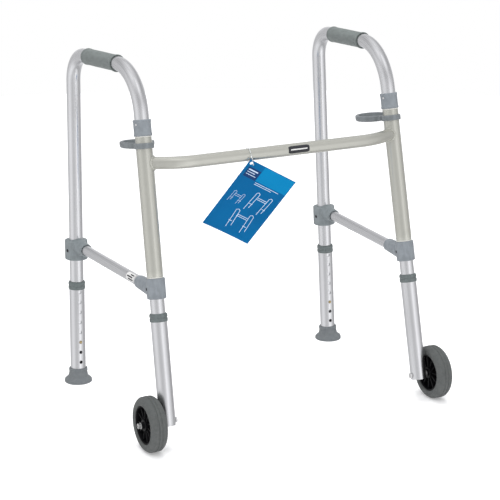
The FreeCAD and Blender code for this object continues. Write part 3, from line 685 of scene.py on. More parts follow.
CHARCOAL = card("label_charcoal", (0.03, 0.032, 0.036), (0.05, 0.05, 0.055))
CLEAR = clear("clear_nylon")


# ---------- side frames ----------
FRONT_BEND = 106.0
REAR_BEND = 60.0


def side_tube(name):
    """The inverted U of one side: front leg, hand rail and rear leg in one bent tube."""
    front, rear = LEGS[name]["front"], LEGS[name]["rear"]
    middle, rail = axis_of(name + "_grip")
    node = name + "_side_tube"
    front_up, rear_up = front.col[2].to_3d(), rear.col[2].to_3d()
    front_corner = nearest(front.translation, front_up, middle, rail)
    rear_corner = nearest(rear.translation, rear_up, middle, rail)
    seen = points_of(node, front)
    front_end = seen[seen[:, 1] < 40][:, 2].min()
    seen = points_of(node, rear)
    rear_end = seen[seen[:, 1] > -40][:, 2].min()
    radius = measured(name + "_top_collar", front)[2]
    path = Path([front.translation + front_up * front_end, front_corner, rear_corner,
                 rear.translation + rear_up * rear_end], (FRONT_BEND, REAR_BEND),
                front.col[0].to_3d())
    shape = path.bent(open_tube(radius, 1.4, path.length, 18.0, 5.0))
    piece(name + "_bent_tube", shape, UNMOVED, name + "_side_frame",
          TUBE, [node])


def grip(name):
    """Foam hand grip: an open, thicker front rim, a gently crowned barrel and a domed end."""
    place = rail_place(name + "_grip")
    _, length, bore, most = measured(name + "_grip", place)
    barrel = most - 1.1
    outline = [
        (bore, 1.6, 0.4), (bore + 0.7, 0.2, 0.3), (most - 0.8, 0, 0.9), (most, 1.4, 1.0),
        (most, 4.6, 1.2), (barrel - 0.25, 7.4, 1.6), (barrel - 0.1, length * 0.3, 20),
        (barrel + 0.1, length * 0.6, 20), (barrel - 0.1, length - 9.5, 3),
        (barrel + 0.75, length - 6.2, 1.4), (barrel + 0.75, length - 2.4, 1.8),
        (bore + 1.1, length, 0.8), (bore, length - 1.2, 0.3),
    ]
    waves = ((7, 0.11, 0.0), (12, 0.23, 1.3), (5, 0.37, 2.1), (19, 0.31, 0.4))

    def soft(radius, height, angle):
        """Hand-worn unevenness, fading to nothing at the bore."""
        share = max(0, min(1, (radius - bore) / (barrel - bore)))
        uneven = sum(sin(n * angle + k * height + start) for n, k, start in waves)
        return radius + 0.045 * share * uneven

    shape = turned(outline, closed=True, run=2.2, columns=80, radius_at=soft)
    made = piece(name + "_foam_grip", shape, place, name + "_side_frame", GRIP,
                 [name + "_grip"])


def collar(name):
    """Moulded collar above the sleeve, with rims, a parting line and a pinned boss."""
    place = LEGS[name]["front"]
    node = name + "_top_collar"
    low, high, bore, radius = measured(node, place)
    waist = radius - 0.7
    outline = [
        (bore, low, 0), (radius - 0.8, low, 0.5), (radius, low + 0.9, 0.6),
        (radius, low + 4.2, 0.8), (waist, low + 5.2, 0.8), (waist, high - 5.2, 0.8),
        (radius, high - 4.2, 0.8), (radius, high - 0.9, 0.6), (radius - 0.8, high, 0.5),
        (bore, high, 0),
    ]

    def parted(r, height, angle):
        """A fine raised parting line on each side."""
        if r < bore + 1:
            return r
        return r + 0.22 * max(0, 1 - abs(sin(angle)) / 0.05)

    shape = turned(outline, closed=True, columns=96, radius_at=parted)
    piece(node + "_shell", shape, place, name + "_side_frame", PLASTIC, [node])
    seat = spun(-160, "Z") @ moved(waist - 0.3, 0, high - 9.5) @ spun(90, "Y")
    pin = turned([(0, -1, 0), (2.4, -1, 0), (2.4, 0.5, 0.4), (1.4, 1.0, 0.4), (0.9, 0.5, 0.2),
                        (0, 0.4, 0)], columns=24)
    piece(name + "_collar_pin", Shape().join(pin, seat), place, name + "_side_frame",
          ZINC)


def brace(name):
    node = name + "_brace"
    place = rail_place(node)
    _, length, _, radius = measured(node, place)
    piece(name + "_brace_tube", open_tube(radius, 1.5, length, 14.0, 20.0), place,
          name + "_side_frame", TUBE, [node])


def barrel_of(name, end):
    """How far a connector's barrel reaches along its leg, and its radius, both read beside
    the socket."""
    seen = points_of(f"{name}_{end}_connector", LEGS[name][end])
    barrel = seen[np.abs(seen[:, 0]) > 15.5][:, 2]
    return barrel.min(), barrel.max(), off_axis(seen)[np.abs(seen[:, 0]) > 17].max()


def connector(name, end):
    """A moulded tee round the leg, whose socket takes the brace."""
    node = f"{name}_{end}_connector"
    leg = LEGS[name][end]
    line = rail_place(name + "_brace")
    toward = line.col[2].to_3d() * (1 if end == "front" else -1)
    low, high, radius = barrel_of(name, end)
    start = nearest(leg.translation, leg.col[2].to_3d(), line.translation, toward)
    inside = leg.inverted() @ oriented(start, toward, leg.col[0].to_3d())
    tip, root = {"front": (74.0, 17.0), "rear": (54.0, 19.0)}[end]
    mouth, brace_bore = 14.0, 11.4
    solid = bar(radius, low, high, edge=1.6)
    solid.join(turned([(0, 0, 0), (root, 0, 0), (mouth, tip - 5, 3),
                             (mouth, tip, 1.2), (0, tip, 0)]), inside)
    cutters = [
        bar(measured(node, leg)[2], low - 9, high + 9),
        Shape().join(turned([(0, 22), (brace_bore, 22), (brace_bore, tip - 1.5),
                             (brace_bore + 0.9, tip + 9), (0, tip + 9)]), inside),
    ]
    finish = PLASTIC if end == "front" else REAR_PLASTIC
    piece(f"{name}_{end}_tee", carved(solid, cutters, 0.85, 9), leg, name + "_side_frame",
          finish, [node], sharp=42)


def domed_rivet(head, height, shank):
    return turned([(0, -shank, 0), (head * 0.6, -shank, 0), (head * 0.6, -0.2, 0),
                         (head, -0.2, 0.1), (head, 0.25, 0.4), (head * 0.55, height, 1.2),
                         (0, height, 0)], columns=28)


def rivets(name):
    """Two domed rivets in each connector, beside the brace's root; their heads are near black as
    painted shade of the holes they sit in.
    """
    side = LEGS[name]["front"]
    shape = Shape()
    for end in ("front", "rear"):
        leg = LEGS[name][end]
        low, high, radius = barrel_of(name, end)
        ahead = 90 if end == "front" else -90
        for way in (-1, 1):
            seat = (spun(ahead + way * 75.0, "Z")
                    @ moved(radius - 0.25, 0, (low + high) / 2) @ spun(90, "Y"))
            shape.join(domed_rivet(3.5, 1.3, 2.5), side.inverted() @ leg @ seat)
    piece(name + "_rivet_heads", shape, side, name + "_side_frame", RIVET_PAINTED_SHADE,
          [name + "_connector_rivets"])


# ---------- legs ----------
HOLE_PITCH = 22.8
HOLE_RADIUS = 3.6


def button_height(name, end):
    """How far up its leg a snap button sits."""
    low, high = measured(f"{name}_{end}_button", LEGS[name][end])[:2]
    return (low + high) / 2


def extension(name, end):
    """A leg extension with its row of holes for the snap button."""
    node = f"{name}_{end}_extension"
    leg = LEGS[name][end]
    low, high, _, radius = measured(node, leg)
    first, angle = {"front": (-1, pi / 2), "rear": (-2, -pi / 2)}[end]
    start = button_height(name, end)
    holes = [(start + step * HOLE_PITCH, angle, HOLE_RADIUS, HOLE_RADIUS)
             for step in range(first, 6)]
    shape = punched(radius, radius - 1.6, low, high, holes)
    piece(f"{name}_{end}_extension_tube", shape, leg, f"{name}_{end}_leg",
          EXTENSION, [node], sharp=50)


def button(name, end):
    """A brass snap button: crowned head, straight shank and a flange inside the tube."""
    node = f"{name}_{end}_button"
    leg = LEGS[name][end]
    facing = 1 if end == "front" else -1
    seat = moved(0, 0, button_height(name, end)) @ spun(-90 * facing, "X")
    place = leg @ seat
    low, high, _, flange = measured(node, place)
    shank = 3.3
    outline = [(0, low, 0), (flange, low, 0.2), (flange, low + 1, 0.2),
                     (shank, low + 1, 0.2), (shank, high - 1.5, 1.2), (shank * 0.5, high, 1.6),
                     (0, high, 0)]
    piece(f"{name}_{end}_snap_button", turned(outline, steps=5, columns=36), place,
          f"{name}_{end}_snap", BRASS, [node])


def ring(name, end):
    """The dark cuff on the extension's top: two rounded beads and a groove."""
    node = f"{name}_{end}_ring"
    leg = LEGS[name][end]
    low, high, bore, radius = measured(node, leg)
    fit = measured(f"{name}_{end}_extension", leg)[3]
    groove = (low + high) / 2
    outline = [
        (fit, low, 0), (radius - 0.7, low, 0.4), (radius, low + 1.2, 0.9),
        (radius, groove - 2.2, 0.6), (radius - 0.8, groove - 1.3, 0.4),
        (radius - 0.8, groove + 0.3, 0.4), (radius, groove + 1.2, 0.6),
        (radius, high - 2.6, 1.6), (bore + 1.2, high, 1.0), (bore, high - 0.8, 0.3),
        (bore, low + 4.2, 0), (fit, low + 4.2, 0),
    ]
    piece(f"{name}_{end}_cuff", turned(outline, closed=True), leg, f"{name}_{end}_leg",
          RING, [node])


def tip(name):
    """The flared rubber foot, cut level with the floor, with a neck bead and sole grooves."""
    node = name + "_rear_tip"
    leg = LEGS[name]["rear"]
    _, high, _, foot = measured(node, leg)
    fit = measured(name + "_rear_extension", leg)[3]
    neck = 20.4
    outline = [
        (0, -3, 0), (7, -3, 0), (7.6, -1.2, 0), (9.4, -1.2, 0), (10, -3, 0), (15, -3, 0),
        (15.6, -1.2, 0), (17.4, -1.2, 0), (18, -3, 0), (foot - 4.4, -3, 0),
        (foot - 0.4, -2.4, 0.4), (foot - 0.05, 1.2, 1.0), (foot - 0.05, 4.2, 0.9),
        (foot - 1.2, 6.6, 1.4), (foot - 6.2, 10.4, 3.0), (neck + 1.2, 12.6, 4.0),
        (neck - 0.5, 21.6, 0.8), (neck - 0.5, 23.6, 0.6), (neck, 24.6, 0.6),
        (neck, high - 2.0, 0.9), (neck - 1.6, high - 0.4, 0.8), (fit + 0.6, high, 0.4),
        (fit, high - 1.0, 0), (fit, 10, 0), (0, 10, 0),
    ]
    solid = turned(outline, run=3.5, columns=72)
    for i, point in enumerate(solid.points):
        world = leg @ point
        floor = 0.55 if hypot(point.x, point.y) < foot - 4 and point.z > -2.2 else 0.0
        if world.z < floor:
            world.z = floor
            solid.points[i] = leg.inverted() @ world
    piece(name + "_rubber_tip", solid, leg, name + "_rear_leg", TIP, [node])


# ---------- wheels ----------
def axle_place(name):
    """The axle's frame: +Z outward, level with the wheel's centre, origin at the leg."""
    joint = JOINTS[name + "_wheel_spin"]
    outward = Vector((1 if joint["pos_m"][0] > 0 else -1, 0, 0))
    return oriented(Vector(joint["pos_m"]) / MM, outward, (0, 1, 0))


def tyre(name):
    """A solid tyre: rounded beads, flat walls with a moulded line, and a ribbed tread."""
    place = axle_place(name)
    node = name + "_tyre"
    low, high, seat, radius = measured(node, place)
    half = (high - low) / 2
    ribs = [(radius - 1.3, -10.6, 0.6), (radius - 0.45, -9.4, 0.3)]
    for middle in (-7.0, 0.0, 7.0):
        crown = radius - 0.35 * abs(middle) / 7
        ribs += [(crown, middle - 1.9, 0.6), (crown, middle + 1.9, 0.6)]
        if middle < 5:
            ribs += [(radius - 1.5, middle + 2.9, 0.4), (radius - 1.5, middle + 4.1, 0.4)]
    ribs += [(radius - 0.45, 9.4, 0.3), (radius - 1.3, 10.6, 0.6)]
    wall = [(radius - 3.6, 14.4, 3.4), (radius - 8.0, half - 0.7, 3.6),
            (radius - 10.4, half - 0.1, 0.3), (radius - 10.9, half - 0.5, 0.2),
            (radius - 11.5, half - 0.5, 0.2), (radius - 12.0, half, 0.4),
            (seat + 2.8, half - 0.2, 1.6), (seat + 0.5, half - 1.7, 0.8),
            (seat, half - 2.4, 0)]
    outline = [(r, -z, e) for r, z, e in reversed(wall)] + ribs + wall
    shape = turned(outline, closed=True, steps=3, columns=144)
    piece(name + "_tyre_tread", shape, place, name + "_wheel", TYRE, [node])


def hub(name):
    """The black wheel centre: rim, web, core and ribs, with eased edges on both faces."""
    node = name + "_wheel_hub"
    place = axle_place(name)
    low, high, bore, rim_out = measured(node, place)
    half = (high - low) / 2
    count, rib_half, rib_face, web = 11, 1.15, half - 3.6, 2.6
    core, rim = 12.2, 36.6
    radii = [bore, bore + 0.6, core - 1.6, core - 0.4, core, core + 0.8, core + 2.4, 19, 24, 29,
             rim - 2.4, rim - 0.8, rim, rim + 0.4, rim + 1.1, rim_out - 0.6, rim_out]
    shares = [-1, -0.72, 0, 0.72, 1]
    fills = [0.09, 0.24, 0.5, 0.76, 0.91, 1.0]
    columns = len(shares) + len(fills)

    def face_height(radius, column):
        """How far the outer face stands from the wheel's middle."""
        if radius <= bore + 0.1 or radius >= rim_out - 0.1:
            return half - 0.5
        if radius <= core - 1 or radius >= rim + 1:
            return half
        if radius <= core - 0.3 or radius >= rim + 0.3:
            return half - 0.5
        if column < len(shares):
            return rib_face - (0.45 if column in (0, len(shares) - 1) else 0)
        fill = fills[column - len(shares)]
        if radius in (core, rim):
            return half - 1.5
        if fill == 1.0:
            return rib_face - 2.0
        edge = fill in (fills[0], fills[-2]) or radius in (core + 0.8, rim - 0.8)
        return web + (0.8 if edge else 0)

    points, faces = [], []
    for way in (1, -1):
        first = len(points)
        for radius in radii:
            edge = rib_half / radius
            gap = tau / count - 2 * edge
            turns = [share * edge for share in shares] + [edge + gap * fill for fill in fills]
            for sector in range(count):
                for column, turn in enumerate(turns):
                    angle = turn + sector * tau / count
                    points.append((radius * cos(angle), radius * sin(angle),
                                   way * face_height(radius, column)))
        faces += lofted(numbered(len(radii), count * columns, first))
    fronts = numbered(len(radii), count * columns)
    backs = numbered(len(radii), count * columns, len(points) // 2)
    for end in (0, -1):
        faces += lofted([fronts[end], backs[end]])
    piece(name + "_hub_casting", Shape().add(points, faces), place, name + "_wheel",
          HUB, [node], sharp=30)


def hexagon(r, corner, angle):
    """A hexagon's radius at an angle, with its corners eased, for a share r of its corner."""
    turn = (angle + pi / 6) % (pi / 3) - pi / 6
    return r / corner * min(corner * sqrt(3) / 2 / cos(turn), corner * 0.985)


def hexagonal(corner, low, high, inside=0.0):
    """The shaping of a bolt's head or a nut: six sides beyond a radius, and faces cut back
    at the corners by a thirty degree cone."""
    def radius(r, z, angle):
        return hexagon(r, corner, angle) if r > inside else r

    def height(r, z, angle):
        cutback = 0.58 * max(0, hexagon(r, corner, angle) - corner * sqrt(3) / 2 * 0.97)
        if z >= high - 0.01:
            return z - cutback
        return z + cutback if z <= low + 0.01 else z

    return {"radius_at": radius, "height_at": height, "columns": 96}


AXLE_RADIUS = 3.0
AXLE_GAP = 0.02
THREAD_PITCH = 1.0


def bush(name):
    """The bush that runs on the axle, its nose standing out under the nut."""
    node = name + "_hub_bush"
    place = axle_place(name)
    low, high, bore, radius = measured(node, place)
    outline = [(bore, low, 0.2), (radius, low, 0.5), (radius, high - 3.4, 0.6),
                     (radius - 0.9, high - 2.4, 0.6), (radius - 0.9, high, 0.6),
                     (bore, high, 0.2)]
    piece(name + "_bush_sleeve", turned(outline, closed=True, columns=48), place,
          name + "_wheel", HUB, [node])


def bolt(name):
    """The axle's bolt: a hexagon head, a shank, a threaded tail and the recess in its end."""
    place = axle_place(name)
    node = name + "_axle_bolt"
    _, end, _, corner = measured(node, place)
    seen = points_of(node, place)
    head = seen[off_axis(seen) > AXLE_RADIUS + 1][:, 2]
    low, high = head.min(), head.max()
    shank = AXLE_RADIUS - AXLE_GAP
    shape = turned([(0, low + 0.5), (corner * 0.5, low + 0.5), (corner * 0.62, low),
                    (corner * 0.8, low), (corner, low), (corner, high), (corner * 0.8, high),
                    (0, high)], **hexagonal(corner, low, high))
    nut_low = measured(name + "_axle_nut", place)[0]
    thread = [(0, high - 0.5), (shank, high - 0.5), (shank, nut_low - 2)]
    for i in range(int((end - nut_low + 1) / THREAD_PITCH)):
        base = nut_low - 1.5 + i * THREAD_PITCH
        thread += [(shank, base), (shank, base + THREAD_PITCH * 0.3),
                   (shank - 0.55, base + THREAD_PITCH * 0.6)]
    recess, depth = 2.0, 3.2
    thread += [(shank - 0.5, end), (recess, end), (recess, end - depth), (0, end - depth - 0.4)]
    shape.join(turned(thread, columns=48))
    piece(name + "_bolt_body", shape, place, name + "_front_leg", ZINC, [node])


def nut(name):
    """The hexagon nut on the bolt, with a chamfered bore."""
    place = axle_place(name)
    node = name + "_axle_nut"
    low, high = measured(node, place)[:2]
    corner = measured(name + "_axle_bolt", place)[3]
    bore = AXLE_RADIUS + AXLE_GAP
    shape = turned([(bore + 0.5, low), (corner * 0.8, low), (corner, low), (corner, high),
                    (corner * 0.8, high), (bore + 0.6, high), (bore, high - 0.6),
                    (bore, low + 0.6)], closed=True,
                   **hexagonal(corner, low, high, AXLE_RADIUS + 1))
    piece(name + "_hex_nut", shape, place, name + "_front_leg", ZINC, [node])


def washers(name):
    """A washer on each side of the leg."""
    place = axle_place(name)
    node = name + "_axle_washers"
    seen = points_of(node, place)
    shape = Shape()
    for washer in (seen[seen[:, 2] < 0], seen[seen[:, 2] > 0]):
        low, high = washer[:, 2].min(), washer[:, 2].max()
        reach = off_axis(washer)
        inner, outer = reach.min(), reach.max()
        shape.join(turned([(inner, low, 0.2), (outer, low, 0.35), (outer, high, 0.35),
                           (inner, high, 0.2)], closed=True))
    piece(name + "_washer_pair", shape, place, name + "_front_leg", ZINC, [node])


# ---------- front frame ----------
def sleeve(name):
    """The painted sleeve on the front leg, with the lock pin's slot behind."""
    node = name + "_sleeve"
    leg = LEGS[name]["front"]
    low, high, _, radius = measured(node, leg)
    pin_low, pin_high = measured(name + "_lock_pin", leg)[:2]
    travel = JOINTS[name + "_trigger_slide"]["range_m"][1] / MM
    half_wide = (pin_high - pin_low) / 2 + 0.4
    half_tall = half_wide + travel / 2
    slot = ((pin_low + pin_high) / 2 + travel / 2, pi / 2, half_wide, half_tall)
    shape = punched(radius, radius - 1.2, low, high, [slot])
    piece(name + "_sleeve_tube", shape, leg, "front_frame", PAINT, [node],
          sharp=50)


LOOP_RING = 32.0
LOOP_WALL = 3.6
LOOP_HALF = 6.2
LOOP_RISE = 6.0
LOOP_BACK = 61.0
LOOP_INWARD = 14.0


def trigger(name):
    """The latch: a band on the sleeve, and a tall finger loop tilted up on a short bridge."""
    node = name + "_trigger"
    leg = LEGS[name]["front"]
    seen = points_of(node, leg)
    near = seen[seen[:, 1] < -5]
    radius = off_axis(near).max()
    low, high = near[:, 2].min(), near[:, 2].max()
    middle = (low + high) / 2
    bore = measured(node, leg)[2]
    inward = LOOP_INWARD if name == "left" else -LOOP_INWARD
    hinge = LOOP_BACK - LOOP_RING
    solid = bar(radius, low, high, edge=1.5)
    centre = moved(inward, hinge, middle) @ spun(LOOP_RISE, "X") @ moved(0, LOOP_RING, 0)
    inside, outside = LOOP_RING - LOOP_WALL, LOOP_RING + LOOP_WALL
    loop = [(inside, -LOOP_HALF, 2.0), (outside - 1.6, -LOOP_HALF, 2.4),
                  (outside, 0, 4), (outside - 0.6, LOOP_HALF, 2.0),
                  (inside, LOOP_HALF, 2.0)]
    solid.join(turned(loop, closed=True, columns=96), centre)
    half_wide, half_tall = 10, 4.6
    bridge = [(x, y, z) for x in (-half_wide, half_wide) for y in (bore, hinge + 4)
              for z in (-half_tall, half_tall)]
    quads = [[0, 1, 3, 2], [4, 6, 7, 5], [0, 4, 5, 1], [2, 3, 7, 6], [0, 2, 6, 4],
             [1, 5, 7, 3]]
    solid.add(bridge, quads, moved(inward / 2, 0, middle))
    shape = carved(solid, [bar(bore, low - 9, high + 9)], 0.8, 6)
    piece(name + "_latch_loop", shape, leg, name + "_trigger_latch", LATCH,
          [node], sharp=42)


BAR_BEND_HALF = 222.0
BAR_BEND = 150.0


def bar_path():
    """The crossbar's centre line, from the left sleeve's axis to the right one's."""
    low, high = (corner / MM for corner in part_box("crossbar"))
    radius = (high.z - low.z) / 2
    level = (high.z + low.z) / 2
    front = low.y + radius
    ends = []
    for name in NAMES:
        leg = LEGS[name]["front"]
        up = leg.col[2].to_3d()
        ends.append(leg.translation + up * (level - leg.translation.z) / up.z)
    bends = [Vector((way * BAR_BEND_HALF, front, level)) for way in (-1, 1)]
    path = Path([ends[0], *bends, ends[1]], (BAR_BEND, BAR_BEND), Vector((0, 0, 1)))
    return path, radius


def crossbar():
    """The bowed bar, run into both sleeves, with a smooth weld bead at each."""
    path, radius = bar_path()
    start = 6.0
    end = path.length - start
    outline = [(0, start), (radius, start), (radius, end), (0, end)]
    shape = path.bent(turned(outline, run=6.0, columns=72))
    piece("crossbar_tube", shape, UNMOVED, "front_frame", PAINT,
          ["crossbar"])
    for name, start in (("left", 0.0), ("right", path.length)):
        weld(name, path, start, radius)


def weld(name, path, start, radius):
    """A smoothed bead where the bar's round meets the sleeve's round."""
    leg = LEGS[name]["front"]
    sleeve_radius = measured(name + "_sleeve", leg)[3]
    inward = 1 if start == 0 else -1
    centre, direction = path.at(start + inward * 20.0)
    direction = direction * inward
    to_leg = leg.inverted()
    up = path.normal
    side = direction.cross(up).normalized()
    steps, ring_steps = 96, 12
    bead, search = 2.7, 40.0
    points = []
    for i in range(steps):
        angle = tau * i / steps
        out = up * cos(angle) + side * sin(angle)
        on_bar = centre + out * radius
        low, high = -search, search
        for _ in range(30):
            middle = (low + high) / 2
            seen = to_leg @ (on_bar + direction * middle)
            if hypot(seen.x, seen.y) < sleeve_radius:
                low = middle
            else:
                high = middle
        foot = on_bar + direction * low
        ripple = bead + 0.14 * sin(17 * angle) + 0.08 * sin(41 * angle + 1.0)
        for k in range(ring_steps):
            turn = tau * k / ring_steps
            points.append(foot + out * (ripple * cos(turn))
                          + direction * (ripple * sin(turn)))
    shape = Shape().add(points, lofted(numbered(steps, ring_steps), closed=True))
    piece(name + "_weld_bead", shape, UNMOVED, "front_frame", PAINT)


# ---------- hang tag ----------
TAG_WIDTH = 116.5
TAG_HEIGHT = 172.0
TAG_INSET = 6.5
TAG_HOLE = 3.6
TAG_TURN = 32.0
TAG_TILT = 19.0
TAG_YAW = -14.0
TAG_FRONT = 15.6
TAG_DOWN = 14.0
TIE_DOWN = 15.5
TIE_FORWARD = 25.0
TIE_RING = 14.0
TIE_WIRE = 0.9
TAG_THICK = 0.9


def tag_place():
    """The card's frame: origin at its hole, +X along its top edge, -Z down the card."""
    hang = Vector(JOINTS["tag_swing"]["pos_m"]) / MM + Vector((0, -TAG_FRONT, -TAG_DOWN))
    return moved(*hang) @ spun(TAG_YAW, "Z") @ spun(TAG_TILT, "X") @ spun(TAG_TURN, "Y")


def curl(x, z):
    """How far the card bows forward of flat, most at its free corners."""
    across = (x - TAG_WIDTH / 2) / TAG_WIDTH
    down = -z / TAG_HEIGHT
    return -2.4 * down ** 2 * (across * 2) ** 2 - 1.2 * sin(pi * down) * 0.6


def on_card(x, z, side, lift, thick):
    """A point at (x, z) of the card, on the front or the back of a layer lifted off it."""
    return x, -lift - thick * (1 - side) + curl(x, z), z


def sheet(start, end, thick, lift, cell=6.0):
    """A thin panel between two corners (x, z) of the card, following its curl."""
    (x0, z0), (x1, z1) = start, end
    return panel(max(1, round(abs(x1 - x0) / cell)), max(1, round(abs(z1 - z0) / cell)),
                 lambda u, v, side: on_card(x0 + (x1 - x0) * u, z0 + (z1 - z0) * v, side,
                                            lift, thick))


def stroke(start, end, width):
    """A printed line on the card between two points (x, z)."""
    a, b = Vector(start), Vector(end)
    across = Vector((-(b - a).y, (b - a).x)).normalized() * width / 2
    return panel(max(1, round((b - a).length / 6)), 1,
                 lambda u, v, side: on_card(*(a + (b - a) * u + across * (2 * v - 1)), side,
                                            0.05, 0.06))


def walker_icon(left, top, width, height, lean):
    """Strokes of a generic walking frame seen at an angle, as (start, end) pairs. Its own
    measures, u across and v down, run from nought to one."""
    lines = [((u, 0.06), (u - lean / width, foot))
             for u, foot in ((0, 1), (0.2, 0.86), (0.8, 1), (1, 0.86))]
    for u in (0, 0.8):
        lines += [((u, 0.06), (u + 0.1, 0)), ((u + 0.1, 0), (u + 0.2, 0.06)),
                  ((u, 0.65), (u + 0.2, 0.65))]
    lines += [((0.2, v), (0.8, v)) for v in (0.24, 0.24 + 4 / height)]
    return [[(left + width * u, top - height * v) for u, v in line] for line in lines]


def tag():
    """The laminated card with a plain colour panel, printed bars and two line drawings."""
    place = tag_place()
    left, top = -TAG_INSET, TAG_INSET
    right, low = left + TAG_WIDTH, top - TAG_HEIGHT
    radius = TAG_HOLE
    blank = sheet((left, top), (right, low), TAG_THICK, -TAG_THICK, cell=4.0)
    hole = Shape().join(bar(radius, -9, 9, columns=32), spun(90, "X"))
    solid = carved(blank, [hole])
    piece("tag_laminate", solid, place, "hang_tag", BLUE, ["tag_card"], sharp=50)
    pale = sheet((left + 39, top - 1.2), (right - 1.2, top - 37), 0.03, 0.01)
    piece("tag_panel", pale, place, "hang_tag", PALE_BLUE, sharp=50)
    block = sheet((left + 7, top - 14), (left + 38, top - 38), 0.03, 0.01)
    piece("tag_block", block, place, "hang_tag", NAVY, sharp=50)
    lines = Shape()
    for row, (start, end, width) in enumerate(((10, 33, 2.6), (10, 29, 1.4), (10, 34, 1.4))):
        level = top - 19.5 - row * 5.5
        lines.join(stroke((left + start, level), (left + end, level), width))
    for row in range(2):
        level = top - 40.5 - row * 4
        lines.join(stroke((left + 41, level), (left + 100 - row * 16, level), 1.1))
    for *icon, width in ((left + 60, top - 57, 40, 47, 3, 1.1),
                         (left + 45, top - 109, 44, 48, -4, 1.1),
                         (left + 15, top - 74, 26, 28, 2, 0.6)):
        for start, end in walker_icon(*icon):
            lines.join(stroke(start, end, width))
    piece("tag_print", lines, place, "hang_tag", INK, sharp=50)
    rim = [(radius - 0.1, -0.75, 0.2), (radius + 0.8, -0.6, 0.3),
                           (radius + 0.8, -0.35, 0.1), (radius - 0.1, -0.35, 0.1)]
    eyelet = turned(rim, closed=True, columns=40)
    facing = moved(0, curl(0, 0), 0) @ spun(-90, "X")
    piece("tag_eyelet", Shape().join(eyelet, facing), place, "hang_tag", PALE_BLUE)


def tie():
    """The clear loop round the bar and through the card's hole, with its lock head."""
    centre = Vector(JOINTS["tag_swing"]["pos_m"]) / MM
    knot = Vector((0, -TIE_FORWARD, -TIE_DOWN))
    spread = acos(TIE_RING / knot.length)
    steps, sides = 60, 12
    loop = [Matrix.Rotation(spread + (tau - 2 * spread) * i / steps, 4, "X")
            @ knot.normalized() * TIE_RING for i in range(steps + 1)]
    loop.append(knot)
    across = Vector((1, 0, 0))
    points = []
    for i, point in enumerate(loop):
        out = (loop[(i + 1) % len(loop)] - loop[i - 1]).normalized().cross(across)
        for k in range(sides):
            angle = tau * k / sides
            points.append(point + across * (0.8 * TIE_WIRE * cos(angle))
                          + out * (0.6 * TIE_WIRE * sin(angle)))
    shape = Shape().add(points, lofted(numbered(len(loop), sides), closed=True))
    head = bar(1.3, -1.2, 1.2, edge=0.4, columns=4)
    shape.join(head, moved(*knot) @ spun(45, "X"))
    piece("tag_loop", shape, moved(*centre), "hang_tag", CLEAR,
          ["tag_tie"])


# ---------- labels ----------
def wrapped(radius, low, high, first, last, thick, corner):
    """A rounded label lying on a tube: heights along it, and angles round it."""
    def point_at(u, v, side):
        across, up = 2 * u - 1, 2 * v - 1
        squeeze = 1 - corner * across ** 8 * up ** 8
        angle = (first + last) / 2 + (last - first) / 2 * across * squeeze
        height = (low + high) / 2 + (high - low) / 2 * up * squeeze
        lift = radius + thick * (1 - side)
        return lift * cos(angle), lift * sin(angle), height

    return panel(24, 24, point_at)


def labels():
    """A plain charcoal badge on the crossbar, and a plain film label on the left brace."""
    path, radius = bar_path()
    off_centre, half = 38.0, 24.0
    middle = path.length / 2 + off_centre
    badge = wrapped(radius, middle - half, middle + half, -0.62, 0.62, 0.25, 0.12)
    facing = spun(78, "Z")
    piece("bar_badge", path.bent(Shape().join(badge, facing)), UNMOVED,
          "front_frame", CHARCOAL, sharp=60)
    stripe = wrapped(radius + 0.2, middle - half + 5, middle + half - 5, -0.1, 0.1, 0.12, 0.05)
    piece("bar_badge_stripe", path.bent(Shape().join(stripe, facing)), UNMOVED,
          "front_frame", LABEL, sharp=60)
    place = rail_place("left_brace")
    reach = measured("left_brace", place)[3]
    out = radians(30)
    film = wrapped(reach, 60, 96, out - 0.8, out + 0.8, 0.12, 0.1)
    piece("brace_label", film, place, "left_side_frame", LABEL, sharp=60)
    bars = Shape()
    for row, (start, length) in enumerate(((64, 22), (68, 24), (64, 16))):
        angle = out - 0.62 + row * 0.45
        bars.join(wrapped(reach + 0.1, start, start + length, angle, angle + 0.26, 0.08, 0.05))
    piece("brace_label_bars", bars, place, "left_side_frame", CHARCOAL,
          sharp=60)


# ---------- CAD nodes that stay ----------
def carried_over():
    """Inner CAD parts keep their shape and take the same finishes."""
    finishes = {"sleeve_liners": NYLON, "snap_springs": SPRING, "trigger_spring": SPRING,
                "spring_stop": NYLON, "lock_pin": ZINC, "tip_washer": ZINC}
    for name in NAMES:
        for part, material in finishes.items():
            item = frame["nodes"][f"{name}_{part}"]
            item.data.materials.clear()
            item.data.materials.append(material)
            grain = item.data.attributes.new("grain", "FLOAT_VECTOR", "POINT")
            flat = np.empty(len(item.data.vertices) * 3, np.float32)
            item.data.vertices.foreach_get("co", flat)
            grain.data.foreach_set("vector", flat)


# ---------- studio ----------
def stage_floor():
    """A wide pale floor, kept out of the reflections so that the tubes show the studio."""
    bpy.ops.mesh.primitive_circle_add(vertices=96, radius=3.2, fill_type="NGON")
    floor = bpy.context.object
    floor.name = "floor"
    made = Finish("floor_paper", (0.93, 0.93, 0.93), 0.9)
    made.inputs["Specular IOR Level"].default_value = 0.1
    made.inputs["Emission Color"].default_value = (1, 1, 1, 1)
    made.inputs["Emission Strength"].default_value = 0.24
    floor.data.materials.append(made.material)
    floor.visible_glossy = False


